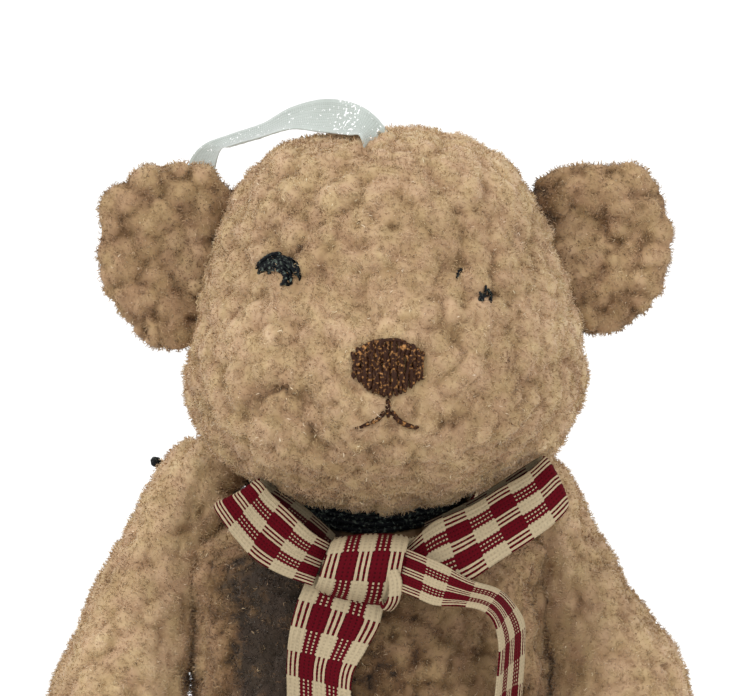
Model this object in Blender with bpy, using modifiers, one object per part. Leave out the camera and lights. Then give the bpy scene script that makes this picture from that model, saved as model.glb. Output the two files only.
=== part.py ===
"""A small plush teddy bear that sits, with thread-jointed limbs, a checked ribbon bow and a hanging loop.

Metres, +Z up. The bear faces -Y and sits on Z = 0, with the middle of its seat at the origin. Left and
right are the bear's own, so its left side is at +X. Its arms and legs turn on threads drawn through the
body. The cloth pieces are modelled as plain forms that include the height of their pile.
"""

import math

import bmesh
import bpy
from mathutils import Matrix, Vector

GAP = 0.0003  # left between pieces that touch on the real bear
COVER_WALL = 0.0018  # plush cloth with its pile
SEAT_CUT = 0.0005  # how deep the soft seat and legs are flattened by what they stand on

BODY_HEIGHT = 0.0425
BODY_HALF_WIDTH = 0.0130
BODY_FRONT = 0.0118
BODY_BACK = 0.0108

NECK_HALF_WIDTH = 0.0067
NECK_HALF_DEPTH = 0.0066
NECK_TILT = math.radians(21)
NECK_PILE = 0.0011  # how deep the binding sinks into the cloth
BINDING_THREAD = 0.0006
BINDING_PITCH = 0.00105
BINDING_TURNS = 3

HEAD_HALF_WIDTH = 0.0156
HEAD_HALF_HEIGHT = 0.0147
HEAD_FRONT = 0.0122
HEAD_BACK = 0.0118
HEAD_ROLL = math.radians(-2.2)
MUZZLE_REACH = 0.0026

EAR_HEIGHT = 0.0146
EAR_WIDTH = 0.0118
EAR_THICKNESS = 0.0046
EAR_CUP = 0.0016

EYE_WIDTH = 0.0030
EYE_HEIGHT = 0.0021
NOSE_WIDTH = 0.0054
NOSE_HEIGHT = 0.0045
FACE_STITCH_DEPTH = 0.0009  # how far the stitched eyes and nose stand off the face
MOUTH_THREAD = 0.0005

ARM_LENGTH = 0.0300
ARM_THICKNESS = 0.0116  # at the paw
ARM_LEAST_FORWARD = math.radians(15)
LEFT_SHOULDER_SHARE = 0.84  # the left arm is drawn in more tightly at its shoulder than the right one

LEG_LENGTH = 0.0375
LEG_REACH = 0.82  # how much of a leg's length lies in front of its joint
LEG_THICKNESS = 0.0112
LEG_SPLAY = math.radians(8)
FOOT_HEIGHT = 0.0150
SOLE_THICKNESS = 0.0011

JOINT_THREAD = 0.0005
JOINT_BORE = 0.0012
JOINT_KNOT = 0.0014

RIBBON_WIDTH = 0.0061
RIBBON_THICKNESS = 0.0004
COLLAR_HEIGHT = 0.0030  # the ribbon is folded in half round the neck
COLLAR_TILT = math.radians(30)
HANGER_WIDTH = 0.0030

# Places that follow from the sizes.
NECK = Vector((0.0003, -0.0008, BODY_HEIGHT - 0.0040))
HEAD = NECK + Vector((0.00075, -0.5 * HEAD_FRONT, 0.8 * HEAD_HALF_HEIGHT))
COLLAR = NECK + Vector((0, -0.0002, -0.0016))
COLLAR_HALF_WIDTH = NECK_HALF_WIDTH + BINDING_THREAD + GAP + RIBBON_THICKNESS
COLLAR_HALF_DEPTH = NECK_HALF_DEPTH + 0.0025
SHOULDER_OUT = max(0.71 * BODY_HALF_WIDTH, COLLAR_HALF_WIDTH + RIBBON_THICKNESS + 2 * GAP)
SHOULDER = Vector((SHOULDER_OUT, 0.0025, BODY_HEIGHT - 0.0055))
SHOULDER_TILT = math.atan(0.78 * BODY_HALF_WIDTH / BODY_HEIGHT)  # keeps the arm off the body's side
HIP = Vector((0.715 * BODY_HALF_WIDTH, 0.0010, 0.42 * FOOT_HEIGHT))
# The arms hang as far forward as the legs below them make them.
ARM_DROP = (SHOULDER.z - 0.88 * FOOT_HEIGHT) / (0.83 * ARM_LENGTH * math.cos(SHOULDER_TILT))
ARM_FORWARD = max(ARM_LEAST_FORWARD, math.acos(min(1, ARM_DROP)))

PLUSH = ((0.50, 0.36, 0.22), 0.95)
FILLING = ((0.80, 0.79, 0.75), 0.95)
DARK_THREAD = ((0.02, 0.035, 0.04), 0.5)
BROWN_THREAD = ((0.06, 0.025, 0.012), 0.5)
CHECKED_RIBBON = ((0.32, 0.10, 0.08), 0.7)
SHEER_RIBBON = ((0.80, 0.83, 0.80), 0.4)
SOLE_CLOTH = ((0.42, 0.30, 0.19), 0.95)


def start_scene():
    for existing in list(bpy.data.objects):
        bpy.data.objects.remove(existing)
    for name in ("teddy_bear", "cutters"):
        bpy.context.scene.collection.children.link(bpy.data.collections.new(name))


def material(name, colour, roughness):
    """The piece's own Principled material, none of them metal."""
    made = bpy.data.materials.new(name)
    made.use_nodes = True
    shader = made.node_tree.nodes["Principled BSDF"]
    shader.inputs["Base Color"].default_value = (*colour, 1)
    shader.inputs["Roughness"].default_value = roughness
    shader.inputs["Metallic"].default_value = 0
    return made


def add(name, data, finish, parent=None):
    """Puts a piece with the bear's pieces or, where it has no finish, with the cutters and guides."""
    obj = bpy.data.objects.new(name, data)
    obj.parent = parent
    if finish:
        bpy.data.collections["teddy_bear"].objects.link(obj)
        data.materials.append(material(name, *finish))
    else:
        bpy.data.collections["cutters"].objects.link(obj)
        obj.hide_render = True
        obj.display_type = "WIRE"
    return obj


def joint_frame(name, location, rotation):
    """An empty that carries the pieces of one limb, or of the head."""
    empty = bpy.data.objects.new(name, None)
    empty.location = location
    empty.rotation_euler = rotation
    empty.empty_display_size = 0.005
    bpy.data.collections["teddy_bear"].objects.link(empty)
    return empty


def swell(count):
    """How much wider than the smoothed form a cage with this many points round it has to be."""
    return 1 / (1 - (1 - math.cos(math.tau / count)) / 3)


def ring(center, side, front, back, count):
    """Cage points round one section, swollen so that the smoothed form reaches the given sizes."""
    points = []
    for i in range(count):
        angle = math.tau * i / count
        reach = front if math.cos(angle) > 0 else -back
        points.append(center + swell(count) * (side * math.sin(angle) + reach * math.cos(angle)))
    return points


def narrowed(rings):
    """The same sections drawn in to the size of the smoothed form, for a cage that stays as it is."""
    drawn_in = []
    for points in rings:
        middle = sum(points, Vector()) / len(points)
        drawn_in.append([middle + (point - middle) / swell(len(points)) for point in points])
    return drawn_in


def soft_form(name, rings, grow, finish, parent=None, levels=1):
    """A closed cage through the rings with Subdivision Surface, grown or shrunk along its normals."""
    mesh = bpy.data.meshes.new(name)
    cage = bmesh.new()
    rows = [[cage.verts.new(point) for point in points] for points in rings]
    for row, following in zip(rows, rows[1:]):
        for i, start in enumerate(row):
            j = (i + 1) % len(row)
            cage.faces.new((start, row[j], following[j], following[i]))
    cage.faces.new(rows[0])
    cage.faces.new(rows[-1])
    bmesh.ops.recalc_face_normals(cage, faces=cage.faces)
    cage.to_mesh(mesh)
    cage.free()
    mesh.shade_smooth()
    obj = add(name, mesh, finish, parent)
    if levels:
        smooth = obj.modifiers.new("smooth", "SUBSURF")
        smooth.levels = smooth.render_levels = levels
    if grow:
        offset = obj.modifiers.new("offset", "DISPLACE")
        offset.mid_level = 0
        offset.strength = grow
    return obj


def cut(obj, *cutters):
    """Takes each cutter's shape out of the piece."""
    for cutter in cutters:
        modifier = obj.modifiers.new(f"without {cutter.name}", "BOOLEAN")
        modifier.operation = "DIFFERENCE"
        modifier.object = cutter


def stuffed(name, rings, parent, cutters):
    """A plush cover round its hollow, and the filling in it. Returns a guide just outside the cover."""
    cover = soft_form(f"{name}_cover", rings, 0, PLUSH, parent)
    inner = narrowed(rings)
    hollow = soft_form(f"{name}_hollow", inner, -COVER_WALL, None, parent, levels=0)
    filling = soft_form(f"{name}_stuffing", inner, -COVER_WALL - GAP, FILLING, parent, levels=0)
    cut(cover, hollow, *cutters)
    cut(filling, *cutters)
    return soft_form(f"{name}_outline", rings, GAP, None, parent)


def first_hit(form, start, way):
    """Where a line in world space first meets the form, and the form's normal there, or None."""
    bpy.context.view_layer.update()
    shape = form.evaluated_get(bpy.context.evaluated_depsgraph_get())
    to_form = shape.matrix_world.inverted()
    found, place, normal, _ = shape.ray_cast(to_form @ start, (to_form.to_3x3() @ way).normalized())
    if not found:
        return None
    return shape.matrix_world @ place, (shape.matrix_world.to_3x3() @ normal).normalized()


def hit_from_front(form, x, z):
    """Where the form is first met at this x and z, coming from in front of the bear."""
    return first_hit(form, Vector((x, -0.1, z)), Vector((0, 1, 0)))


def tube(name, points, diameter, finish, radii=None):
    """A thread along the points. The radii, one a point, are shares of its own radius."""
    curve = bpy.data.curves.new(name, "CURVE")
    curve.dimensions = "3D"
    curve.bevel_depth = diameter / 2
    curve.bevel_resolution = 1
    curve.use_fill_caps = True
    spline = curve.splines.new("POLY")
    spline.points.add(len(points) - 1)
    for target, point, radius in zip(spline.points, points, radii or [1] * len(points)):
        target.co = (*point, 1)
        target.radius = radius
    return add(name, curve, finish)


def as_mesh(curve):
    """Replaces a curve cutter by its mesh, with the caps welded on."""
    bpy.context.view_layer.update()
    evaluated = curve.evaluated_get(bpy.context.evaluated_depsgraph_get())
    mesh = bpy.data.meshes.new_from_object(evaluated)
    welded = bmesh.new()
    welded.from_mesh(mesh)
    bmesh.ops.remove_doubles(welded, verts=welded.verts, dist=1e-6)
    bmesh.ops.recalc_face_normals(welded, faces=welded.faces)
    welded.to_mesh(mesh)
    welded.free()
    name, place = curve.name, curve.matrix_world.copy()
    bpy.data.objects.remove(curve)
    solid = add(name, mesh, None)
    solid.matrix_world = place
    return solid


def smooth_route(points, steps):
    """Points along a Catmull-Rom curve through the given ones, this many from each to the next."""
    route = []
    for i in range(len(points) - 1):
        before, start = points[max(i - 1, 0)], points[i]
        end, after = points[i + 1], points[min(i + 2, len(points) - 1)]
        for t in (step / steps for step in range(steps)):
            bend = 2 * before - 5 * start + 4 * end - after
            twist = 3 * start - before - 3 * end + after
            route.append(start + ((end - before) * t + bend * t**2 + twist * t**3) / 2)
    return [*route, points[-1]]


def ribbon(name, middles, reaches, finish, steps=3):
    """A strip whose middle follows the points and whose edges lie a reach to either side of it."""
    mesh = bpy.data.meshes.new(name)
    strip = bmesh.new()
    rows = []
    for middle, reach in zip(smooth_route(middles, steps), smooth_route(reaches, steps)):
        rows.append([strip.verts.new(middle - reach), strip.verts.new(middle + reach)])
    for (a, b), (c, d) in zip(rows, rows[1:]):
        strip.faces.new((a, b, d, c))
    strip.to_mesh(mesh)
    strip.free()
    obj = add(name, mesh, finish)
    solid = obj.modifiers.new("thickness", "SOLIDIFY")
    solid.thickness = RIBBON_THICKNESS
    solid.offset = 0
    return obj


def tilted(center, tilt, x, y, z):
    """A point beside the neck, from its place in a frame that leans forwards by the tilt."""
    return center + Matrix.Rotation(tilt, 3, "X") @ Vector((x, y, z))


def neck_band(name, center, tilt, half_width, half_depth, height, thickness, finish):
    """An oval band round the neck, open above and below."""
    count = 24
    mesh = bpy.data.meshes.new(name)
    band = bmesh.new()
    rows = []
    for angle in (math.tau * i / count for i in range(count)):
        x, y = half_width * math.sin(angle), -half_depth * math.cos(angle)
        rows.append([band.verts.new(tilted(center, tilt, x, y, z)) for z in (-height / 2, height / 2)])
    for i, (a, b) in enumerate(rows):
        c, d = rows[(i + 1) % count]
        band.faces.new((a, c, d, b))
    band.to_mesh(mesh)
    band.free()
    obj = add(name, mesh, finish)
    solid = obj.modifiers.new("thickness", "SOLIDIFY")
    solid.thickness = thickness
    solid.offset = 0
    return obj


def neck_groove(name, center, tilt, half_width, half_depth, height):
    """The cutter for a band's place: everything from its inner side out past the cloth."""
    outwards = 0.010
    inner_width = half_width - GAP + outwards / 2
    inner_depth = half_depth - GAP + outwards / 2
    return neck_band(name, center, tilt, inner_width, inner_depth, height + 2 * GAP, outwards, None)


def build_neck():
    """The thread wound round the neck and the ribbon tied over it. Returns the grooves for both."""
    turn = 24
    half_width = NECK_HALF_WIDTH + BINDING_THREAD / 2
    half_depth = NECK_HALF_DEPTH + BINDING_THREAD / 2
    coil = []
    for i in range(BINDING_TURNS * turn + 1):
        angle = math.tau * i / turn
        along = (i / turn - BINDING_TURNS / 2) * BINDING_PITCH
        x, y = half_width * math.sin(angle), half_depth * math.cos(angle)
        coil.append(tilted(NECK, NECK_TILT, x, y, along))
    start = coil[0] + (coil[0] - coil[1]).normalized() * BINDING_THREAD
    end = coil[-1] + (coil[-1] - coil[-2]).normalized() * BINDING_THREAD
    tube("neck_binding", [start, *coil, end], BINDING_THREAD, DARK_THREAD)
    between = [(a - b).length for i, a in enumerate(coil) for b in coil[i + turn // 2 :]]
    print(f"neck_binding, least gap to itself: {1000 * (min(between) - BINDING_THREAD):.2f} mm")
    neck_band(
        "neck_ribbon",
        COLLAR,
        COLLAR_TILT,
        COLLAR_HALF_WIDTH,
        COLLAR_HALF_DEPTH,
        COLLAR_HEIGHT,
        2 * RIBBON_THICKNESS,
        CHECKED_RIBBON,
    )
    wound = BINDING_TURNS * BINDING_PITCH + BINDING_THREAD
    return [
        neck_groove("binding_groove", NECK, NECK_TILT, NECK_HALF_WIDTH, NECK_HALF_DEPTH, wound),
        neck_groove(
            "ribbon_groove",
            COLLAR,
            COLLAR_TILT,
            COLLAR_HALF_WIDTH - RIBBON_THICKNESS,
            COLLAR_HALF_DEPTH - RIBBON_THICKNESS,
            COLLAR_HEIGHT,
        ),
    ]


def build_bore(name, exit_point, tilt, splay, reach):
    """The way of a joint's thread: along one limb's axis to the middle of the body and out again."""
    out = Vector((math.cos(tilt) * math.cos(splay), math.sin(splay), math.sin(tilt)))
    left = exit_point + out * reach
    middle = exit_point - out * (exit_point.x / out.x)
    right = Vector((-left.x, left.y, left.z))
    return as_mesh(tube(name, [left, middle, right], JOINT_BORE, None))


def build_thread(name, exit_point, tilt, splay, outlines):
    """A joint's thread, with a knot on the outside of each limb."""
    out = Vector((math.cos(tilt) * math.cos(splay), math.sin(splay), math.sin(tilt)))
    middle = exit_point - out * (exit_point.x / out.x)
    swell = JOINT_KNOT / JOINT_THREAD
    knot = ((0, 1), (0.12, 0.85 * swell), (0.5, swell), (0.88, 0.8 * swell), (1, 0.35 * swell))
    ends = []
    for side, outline in zip((1, -1), outlines):
        way = Vector((side * out.x, out.y, out.z))
        far = middle + way * 0.05
        surface, _ = first_hit(outline, far, -way)
        ends.append([(surface + way * share * JOINT_KNOT, radius) for share, radius in knot])
    route = [*reversed(ends[0]), (middle, 1), *ends[1]]
    tube(name, [point for point, _ in route], JOINT_THREAD, DARK_THREAD, [radius for _, radius in route])


def build_floor():
    """Everything below the surface that the bear sits on, to flatten its seat and legs."""
    mesh = bpy.data.meshes.new("floor")
    box = bmesh.new()
    bmesh.ops.create_cube(box, size=0.1, matrix=Matrix.Translation((0, 0, -0.05)))
    box.to_mesh(mesh)
    box.free()
    return add("floor", mesh, None)


def body_rings():
    """Sections of the body from the seat up: the torso's as shares of its sizes, then the neck's."""
    shares = (
        (0.0, 0.50, 0.45, 0.62),
        (0.04, 0.65, 0.66, 0.86),
        (0.15, 0.69, 0.86, 1.0),
        (0.27, 0.80, 0.97, 1.02),
        (0.42, 1.01, 1.0, 1.0),
        (0.61, 1.02, 0.90, 0.95),
        (0.77, 0.84, 0.75, 0.86),
    )
    rings = []
    for height, width, front, back in shares:
        center = Vector((0, 0, height * (BODY_HEIGHT + SEAT_CUT) - SEAT_CUT))
        side = Vector((width * BODY_HALF_WIDTH, 0, 0))
        before, behind = Vector((0, -front * BODY_FRONT, 0)), Vector((0, back * BODY_BACK, 0))
        rings.append(ring(center, side, before, behind, 10))
    for along, share in ((-0.0012, 1.0), (0.0016, 0.82), (0.0036, 0.42)):
        center = tilted(NECK, 0.5 * NECK_TILT, 0, 0, along)
        side = Vector((share * (NECK_HALF_WIDTH + NECK_PILE), 0, 0))
        before = Vector((0, -share * (NECK_HALF_DEPTH + 0.5 * NECK_PILE), 0))
        rings.append(ring(center, side, before, -before, 10))
    return rings


def head_rings():
    """Sections of the head from the crown down, as shares of its sizes, with the muzzle drawn out."""
    shares = (
        (0.985, 0.24, 0.28, 0),
        (0.88, 0.58, 0.62, 0),
        (0.58, 0.78, 0.86, 0),
        (0.18, 0.89, 0.98, 0.25),
        (-0.20, 0.99, 1.0, 1.0),
        (-0.50, 0.99, 0.96, 1.0),
        (-0.74, 0.80, 0.79, 0.55),
        (-0.91, 0.50, 0.54, 0.15),
        (-0.985, 0.2, 0.22, 0),
    )
    rings = []
    for height, width, depth, muzzle in shares:
        center = Vector((0, 0, height * HEAD_HALF_HEIGHT))
        side = Vector((width * HEAD_HALF_WIDTH, 0, 0))
        before, behind = Vector((0, -depth * HEAD_FRONT, 0)), Vector((0, depth * HEAD_BACK, 0))
        points = ring(center, side, before, behind, 10)
        for i, point in enumerate(points):
            forward = max(math.cos(math.tau * i / len(points)), 0)
            point.y -= muzzle * MUZZLE_REACH * forward**3
        rings.append(points)
    return rings


def arm_rings(side):
    """Sections of an arm from its top down, about the point where its axis leaves the body.

    Each has its place as a share of the arm's length, and its half thickness, half depth and distance
    from the body's side as shares of half the paw's thickness.
    """
    above_axis = 0.105
    shares = (
        (0.0, 0.25, 0.28, 0.36),
        (0.035, 0.48, 0.52, 0.14),
        (0.13, 0.64, 0.70, 0.02),
        (0.33, 0.57, 0.71, 0.34),
        (0.58, 0.82, 0.88, 0.14),
        (0.76, 1.0, 1.0, 0.02),
        (0.92, 0.80, 0.80, 0.14),
        (0.99, 0.36, 0.36, 0.46),
    )
    half = ARM_THICKNESS / 2
    rings = []
    for along, thick, deep, off in shares:
        if side > 0 and along < 0.5:
            thick *= LEFT_SHOULDER_SHARE
        center = Vector((side * ((thick + off) * half + GAP), 0, (above_axis - along) * ARM_LENGTH))
        before = Vector((0, -deep * half, 0))
        rings.append(ring(center, Vector((side * thick * half, 0, 0)), before, -before, 8))
    return rings


def leg_ring(side, along, thick, bottom, top):
    """A section across a leg, about the point where its axis leaves the body."""
    middle = (top + bottom) / 2 * FOOT_HEIGHT - HIP.z
    reach = Vector((0, 0, (top - bottom) / 2 * FOOT_HEIGHT))
    center = Vector((side * (LEG_THICKNESS / 2 + GAP), -along, middle))
    return ring(center, Vector((side * thick * LEG_THICKNESS / 2, 0, 0)), reach, -reach, 8)


def leg_rings(side):
    """Sections of a leg from the back of the thigh to the foot.

    Each has its place as a share of the leg's length, its half thickness as a share of the leg's, and
    its bottom and top as shares of the foot's height.
    """
    shares = (
        (LEG_REACH - 0.985, 0.34, 0.24, 0.58),
        (-0.115, 0.72, 0.08, 0.74),
        (0.0, 0.98, -0.04, 0.84),
        (0.17, 1.0, -0.04, 0.80),
        (0.40, 0.90, 0.0, 0.70),
        (0.62, 0.92, -0.04, 0.84),
        (0.76, 0.96, -0.03, 0.99),
        (LEG_REACH, 0.92, 0.03, 0.95),
    )
    return [leg_ring(side, along * LEG_LENGTH, *section) for along, *section in shares]


def build_arm(side, name, bore):
    """An arm that tapers up to the shoulder, where the thread holds it to the body's sloping side."""
    place = (side * SHOULDER.x, SHOULDER.y, SHOULDER.z)
    pivot = joint_frame(f"{name}_pivot", place, (-ARM_FORWARD, -side * SHOULDER_TILT, 0))
    return stuffed(name, arm_rings(side), pivot, [bore])


def build_leg(side, name, bore, floor):
    """A leg held out in front, with the foot turned up and a flat sole sewn to its end."""
    pivot = joint_frame(f"{name}_pivot", (side * HIP.x, HIP.y, HIP.z), (0, 0, side * LEG_SPLAY))
    outline = stuffed(name, leg_rings(side), pivot, [bore, floor])
    end = LEG_REACH * LEG_LENGTH + GAP
    sections = (
        (end - SOLE_THICKNESS, 0.80, 0.09, 0.89),
        (end + 0.2 * SOLE_THICKNESS, 0.86, 0.06, 0.92),
        (end + SOLE_THICKNESS, 0.76, 0.11, 0.87),
    )
    sole = soft_form(f"{name}_sole", [leg_ring(side, *section) for section in sections], 0, SOLE_CLOTH, pivot)
    cut(sole, outline, floor)
    return outline


def build_ear(side, name, head_frame, head_outline):
    """A half-round ear sewn to the side of the head and cupped forwards."""
    center = Vector((side * (HEAD_HALF_WIDTH + 0.0003), 0.0012, 0.35 * HEAD_HALF_HEIGHT))
    rings = []
    for height, width in ((1.0, 0.34), (0.80, 0.80), (0.26, 1.02), (-0.46, 0.93), (-1.0, 0.34)):
        middle = center + Vector((0, 0, height * EAR_HEIGHT / 2))
        before = Vector((0, -EAR_THICKNESS / 2 * max(width, 0.5), 0))
        rings.append(ring(middle, Vector((width * EAR_WIDTH / 2, 0, 0)), before, -before, 8))
    ear = soft_form(name, rings, 0, PLUSH, head_frame)
    hollow = bpy.data.meshes.new(f"{name}_cup")
    ball = bmesh.new()
    bmesh.ops.create_uvsphere(ball, u_segments=10, v_segments=6, radius=1)
    ball.to_mesh(hollow)
    ball.free()
    size = Matrix.Diagonal((0.31 * EAR_WIDTH, EAR_CUP, 0.31 * EAR_HEIGHT, 1))
    hollow.transform(Matrix.Translation(center - Vector((0, EAR_THICKNESS / 2, 0))) @ size)
    cut(ear, add(f"{name}_cup", hollow, None, head_frame), head_outline)


def face_point(x, z):
    """A place on the face as x and z in the world, from shares of half the head's width and height."""
    return HEAD.x + x * HEAD_HALF_WIDTH, HEAD.z + z * HEAD_HALF_HEIGHT


def build_patch(name, x, z, width, height, finish, head_outline):
    """A raised patch of satin stitches on the face, whose back follows the cloth."""
    place, away = hit_from_front(head_outline, *face_point(x, z))
    side = Vector((0, 0, 1)).cross(away).normalized() * width / 2
    up = away.cross(side).normalized() * height / 2
    rings = []
    for depth, share in ((-1.0, 0.7), (0.0, 1.0), (0.55, 0.92), (1.0, 0.45)):
        center = place + away * depth * FACE_STITCH_DEPTH
        rings.append(ring(center, side * share, up * share, -up * share, 8))
    cut(soft_form(name, rings, 0, finish), head_outline)


def build_face(head_outline):
    """The stitched eyes, one a little lower than the other, the nose, and three stitches of a mouth."""
    build_patch("eye_right", -0.52, 0.32, EYE_WIDTH, EYE_HEIGHT, DARK_THREAD, head_outline)
    build_patch("eye_left", 0.415, 0.21, EYE_WIDTH, EYE_HEIGHT, DARK_THREAD, head_outline)
    build_patch("nose", 0.02, -0.185, NOSE_WIDTH, NOSE_HEIGHT, BROWN_THREAD, head_outline)
    stitches = {
        "mouth_middle_stitch": ((0.02, -0.37), (0.02, -0.425)),
        "mouth_right_stitch": ((-0.02, -0.435), (-0.125, -0.485)),
        "mouth_left_stitch": ((0.06, -0.435), (0.165, -0.485)),
    }
    for name, (start, end) in stitches.items():
        points = []
        for t in (0, 0.5, 1):
            x, z = face_point(start[0] + (end[0] - start[0]) * t, start[1] + (end[1] - start[1]) * t)
            place, away = hit_from_front(head_outline, x, z)
            points.append(place + away * MOUTH_THREAD / 2)
        tube(name, points, MOUTH_THREAD, BROWN_THREAD)


def build_bow_piece(name, knot, stations, outlines):
    """A length of the bow's ribbon. A station has the middle's place, in ribbon widths from the knot's
    middle, the way that its width lies, and how much of its width shows where it is gathered.

    The ribbon lies as far forwards as the head and body make it.
    """
    middles, reaches = [], []
    clear = RIBBON_THICKNESS / 2 + GAP
    for place, way, share in stations:
        middle = knot + Vector(place) * RIBBON_WIDTH
        reach = Vector(way).normalized() * share * RIBBON_WIDTH / 2
        for t in (-1, -0.5, 0, 0.5, 1):
            point = middle + reach * t
            for outline in outlines:
                hit = hit_from_front(outline, point.x, point.z)
                if hit:
                    middle.y = min(middle.y, hit[0].y - clear - reach.y * t)
        middles.append(middle)
        reaches.append(reach)
    ribbon(name, middles, reaches, CHECKED_RIBBON)


def build_bow(outlines):
    """The knot, two loops and two tails of the ribbon tied at the throat."""
    half = Vector((0.51, 0.25, 0.44)) * RIBBON_WIDTH
    throat = tilted(COLLAR, COLLAR_TILT, 0, -COLLAR_HALF_DEPTH - RIBBON_THICKNESS, 0)
    knot = Vector((-0.00065, throat.y, throat.z - 0.0006))
    hits = [hit_from_front(outline, knot.x, knot.z - half.z) for outline in outlines]
    knot.y = min([throat.y, *(hit[0].y for hit in hits if hit)]) - GAP - half.y
    rings = []
    for height, width, depth in ((1, 0.8, 0.5), (0.7, 1, 1), (0, 0.96, 1), (-0.7, 0.92, 1), (-1, 0.72, 0.5)):
        before = Vector((0, -depth * half.y, 0))
        center = knot + Vector((0, 0, height * half.z))
        rings.append(ring(center, Vector((width * half.x, 0, 0)), before, -before, 8))
    soft_form("bow_knot", rings, 0, CHECKED_RIBBON)
    right_loop = (
        ((-0.60, -0.12, 0.12), (0.30, 0.45, 0.80), 0.60),
        ((-0.86, -0.20, 0.25), (0.50, 0.50, 0.62), 0.76),
        ((-1.21, -0.16, 0.53), (0.60, 0.50, 0.56), 0.76),
        ((-1.44, -0.06, 0.83), (0.70, 0.52, 0.44), 0.76),
        ((-1.52, 0.10, 0.96), (0.72, 0.50, 0.45), 0.76),
        ((-1.36, 0.25, 0.90), (0.60, 0.40, 0.65), 0.76),
        ((-1.05, 0.28, 0.70), (0.50, 0.35, 0.75), 0.74),
        ((-0.80, 0.27, 0.52), (0.40, 0.35, 0.80), 0.68),
        ((-0.60, 0.22, 0.38), (0.30, 0.30, 0.85), 0.56),
    )
    left_loop = (
        ((0.62, -0.04, 0.14), (-0.30, 0.42, 0.80), 0.56),
        ((1.20, -0.14, 0.34), (-0.38, 0.42, 0.85), 0.74),
        ((1.74, -0.16, 0.63), (-0.42, 0.44, 0.82), 0.80),
        ((2.20, -0.06, 0.96), (-0.45, 0.46, 0.76), 0.78),
        ((2.37, 0.12, 1.10), (-0.45, 0.44, 0.76), 0.78),
        ((2.16, 0.30, 1.04), (-0.42, 0.36, 0.80), 0.78),
        ((1.68, 0.34, 0.80), (-0.40, 0.34, 0.82), 0.76),
        ((1.18, 0.30, 0.53), (-0.36, 0.34, 0.84), 0.72),
        ((0.64, 0.22, 0.33), (-0.30, 0.30, 0.85), 0.56),
    )
    right_tail = (
        ((-0.26, -0.05, -0.52), (1, 0.05, -0.10), 0.96),
        ((-0.36, -0.10, -0.72), (1, 0.02, -0.08), 1),
        ((-0.44, -0.10, -0.95), (1, -0.10, -0.02), 1),
        ((-0.50, -0.10, -1.25), (0.9, -0.35, 0), 1),
        ((-0.52, -0.12, -1.60), (0.8, -0.55, 0), 1),
        ((-0.50, -0.14, -2.20), (0.8, -0.55, 0), 1),
        ((-0.46, -0.14, -2.95), (0.85, -0.45, 0), 1),
    )
    left_tail = (
        ((0.59, -0.42, 0.00), (0.07, 0.34, 0.92), 0.60),
        ((0.92, -0.60, -0.12), (0.15, 0.38, 0.90), 0.66),
        ((1.32, -0.64, -0.28), (0.40, 0.56, 0.70), 0.72),
        ((1.60, -0.54, -0.40), (0.50, 0.76, 0.42), 0.84),
        ((1.80, -0.34, -0.62), (0.38, 0.90, 0.18), 0.96),
        ((1.86, -0.25, -0.93), (0.30, 0.95, 0.04), 1),
        ((1.83, -0.18, -1.25), (0.28, 0.96, 0), 1),
        ((1.79, -0.12, -1.75), (0.28, 0.96, 0), 1),
        ((1.72, -0.08, -2.40), (0.30, 0.95, 0), 1),
        ((1.66, -0.06, -3.00), (0.32, 0.95, 0), 1),
    )
    build_bow_piece("bow_loop_right", knot, right_loop, outlines)
    build_bow_piece("bow_loop_left", knot, left_loop, outlines)
    build_bow_piece("bow_tail_right", knot, right_tail, outlines)
    build_bow_piece("bow_tail_left", knot, left_tail, outlines)


def build_hanger():
    """The sheer hanging loop. Sewn on at the crown, it has flopped back and over behind the right ear."""
    crown = HEAD + Vector((0, 0, HEAD_HALF_HEIGHT))
    stations = (
        ((-0.0001, -0.0047, -0.0003), (0.74, 0.45, 0.20)),
        ((-0.0011, -0.0036, 0.0004), (0.46, 0.83, 0.40)),
        ((-0.0024, -0.0026, 0.0009), (0.26, 0.90, 1.05)),
        ((-0.0047, -0.0001, 0.0010), (0.22, 0.80, 1.08)),
        ((-0.0070, 0.0020, 0.0004), (0.00, 1.10, 0.65)),
        ((-0.0093, 0.0038, -0.0007), (0.12, 1.15, 0.40)),
        ((-0.0116, 0.0057, -0.0015), (-0.05, 1.20, 0.30)),
        ((-0.0131, 0.0078, -0.0022), (-0.60, 1.10, 0.10)),
        ((-0.0139, 0.0099, -0.0038), (-1.00, 1.00, 0.05)),
        ((-0.0140, 0.0121, -0.0060), (-0.90, 1.00, -0.20)),
        ((-0.0120, 0.0129, -0.0066), (-0.20, 1.00, -0.45)),
        ((-0.0076, 0.0115, -0.0047), (-0.20, 0.90, -1.00)),
        ((-0.0026, 0.0086, -0.0025), (-0.05, 1.00, -0.95)),
    )
    middles = [crown + Vector(place) for place, _ in stations]
    reaches = [Vector(way).normalized() * HANGER_WIDTH / 2 for _, way in stations]
    ribbon("hanging_loop", middles, reaches, SHEER_RIBBON, steps=2)


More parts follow.
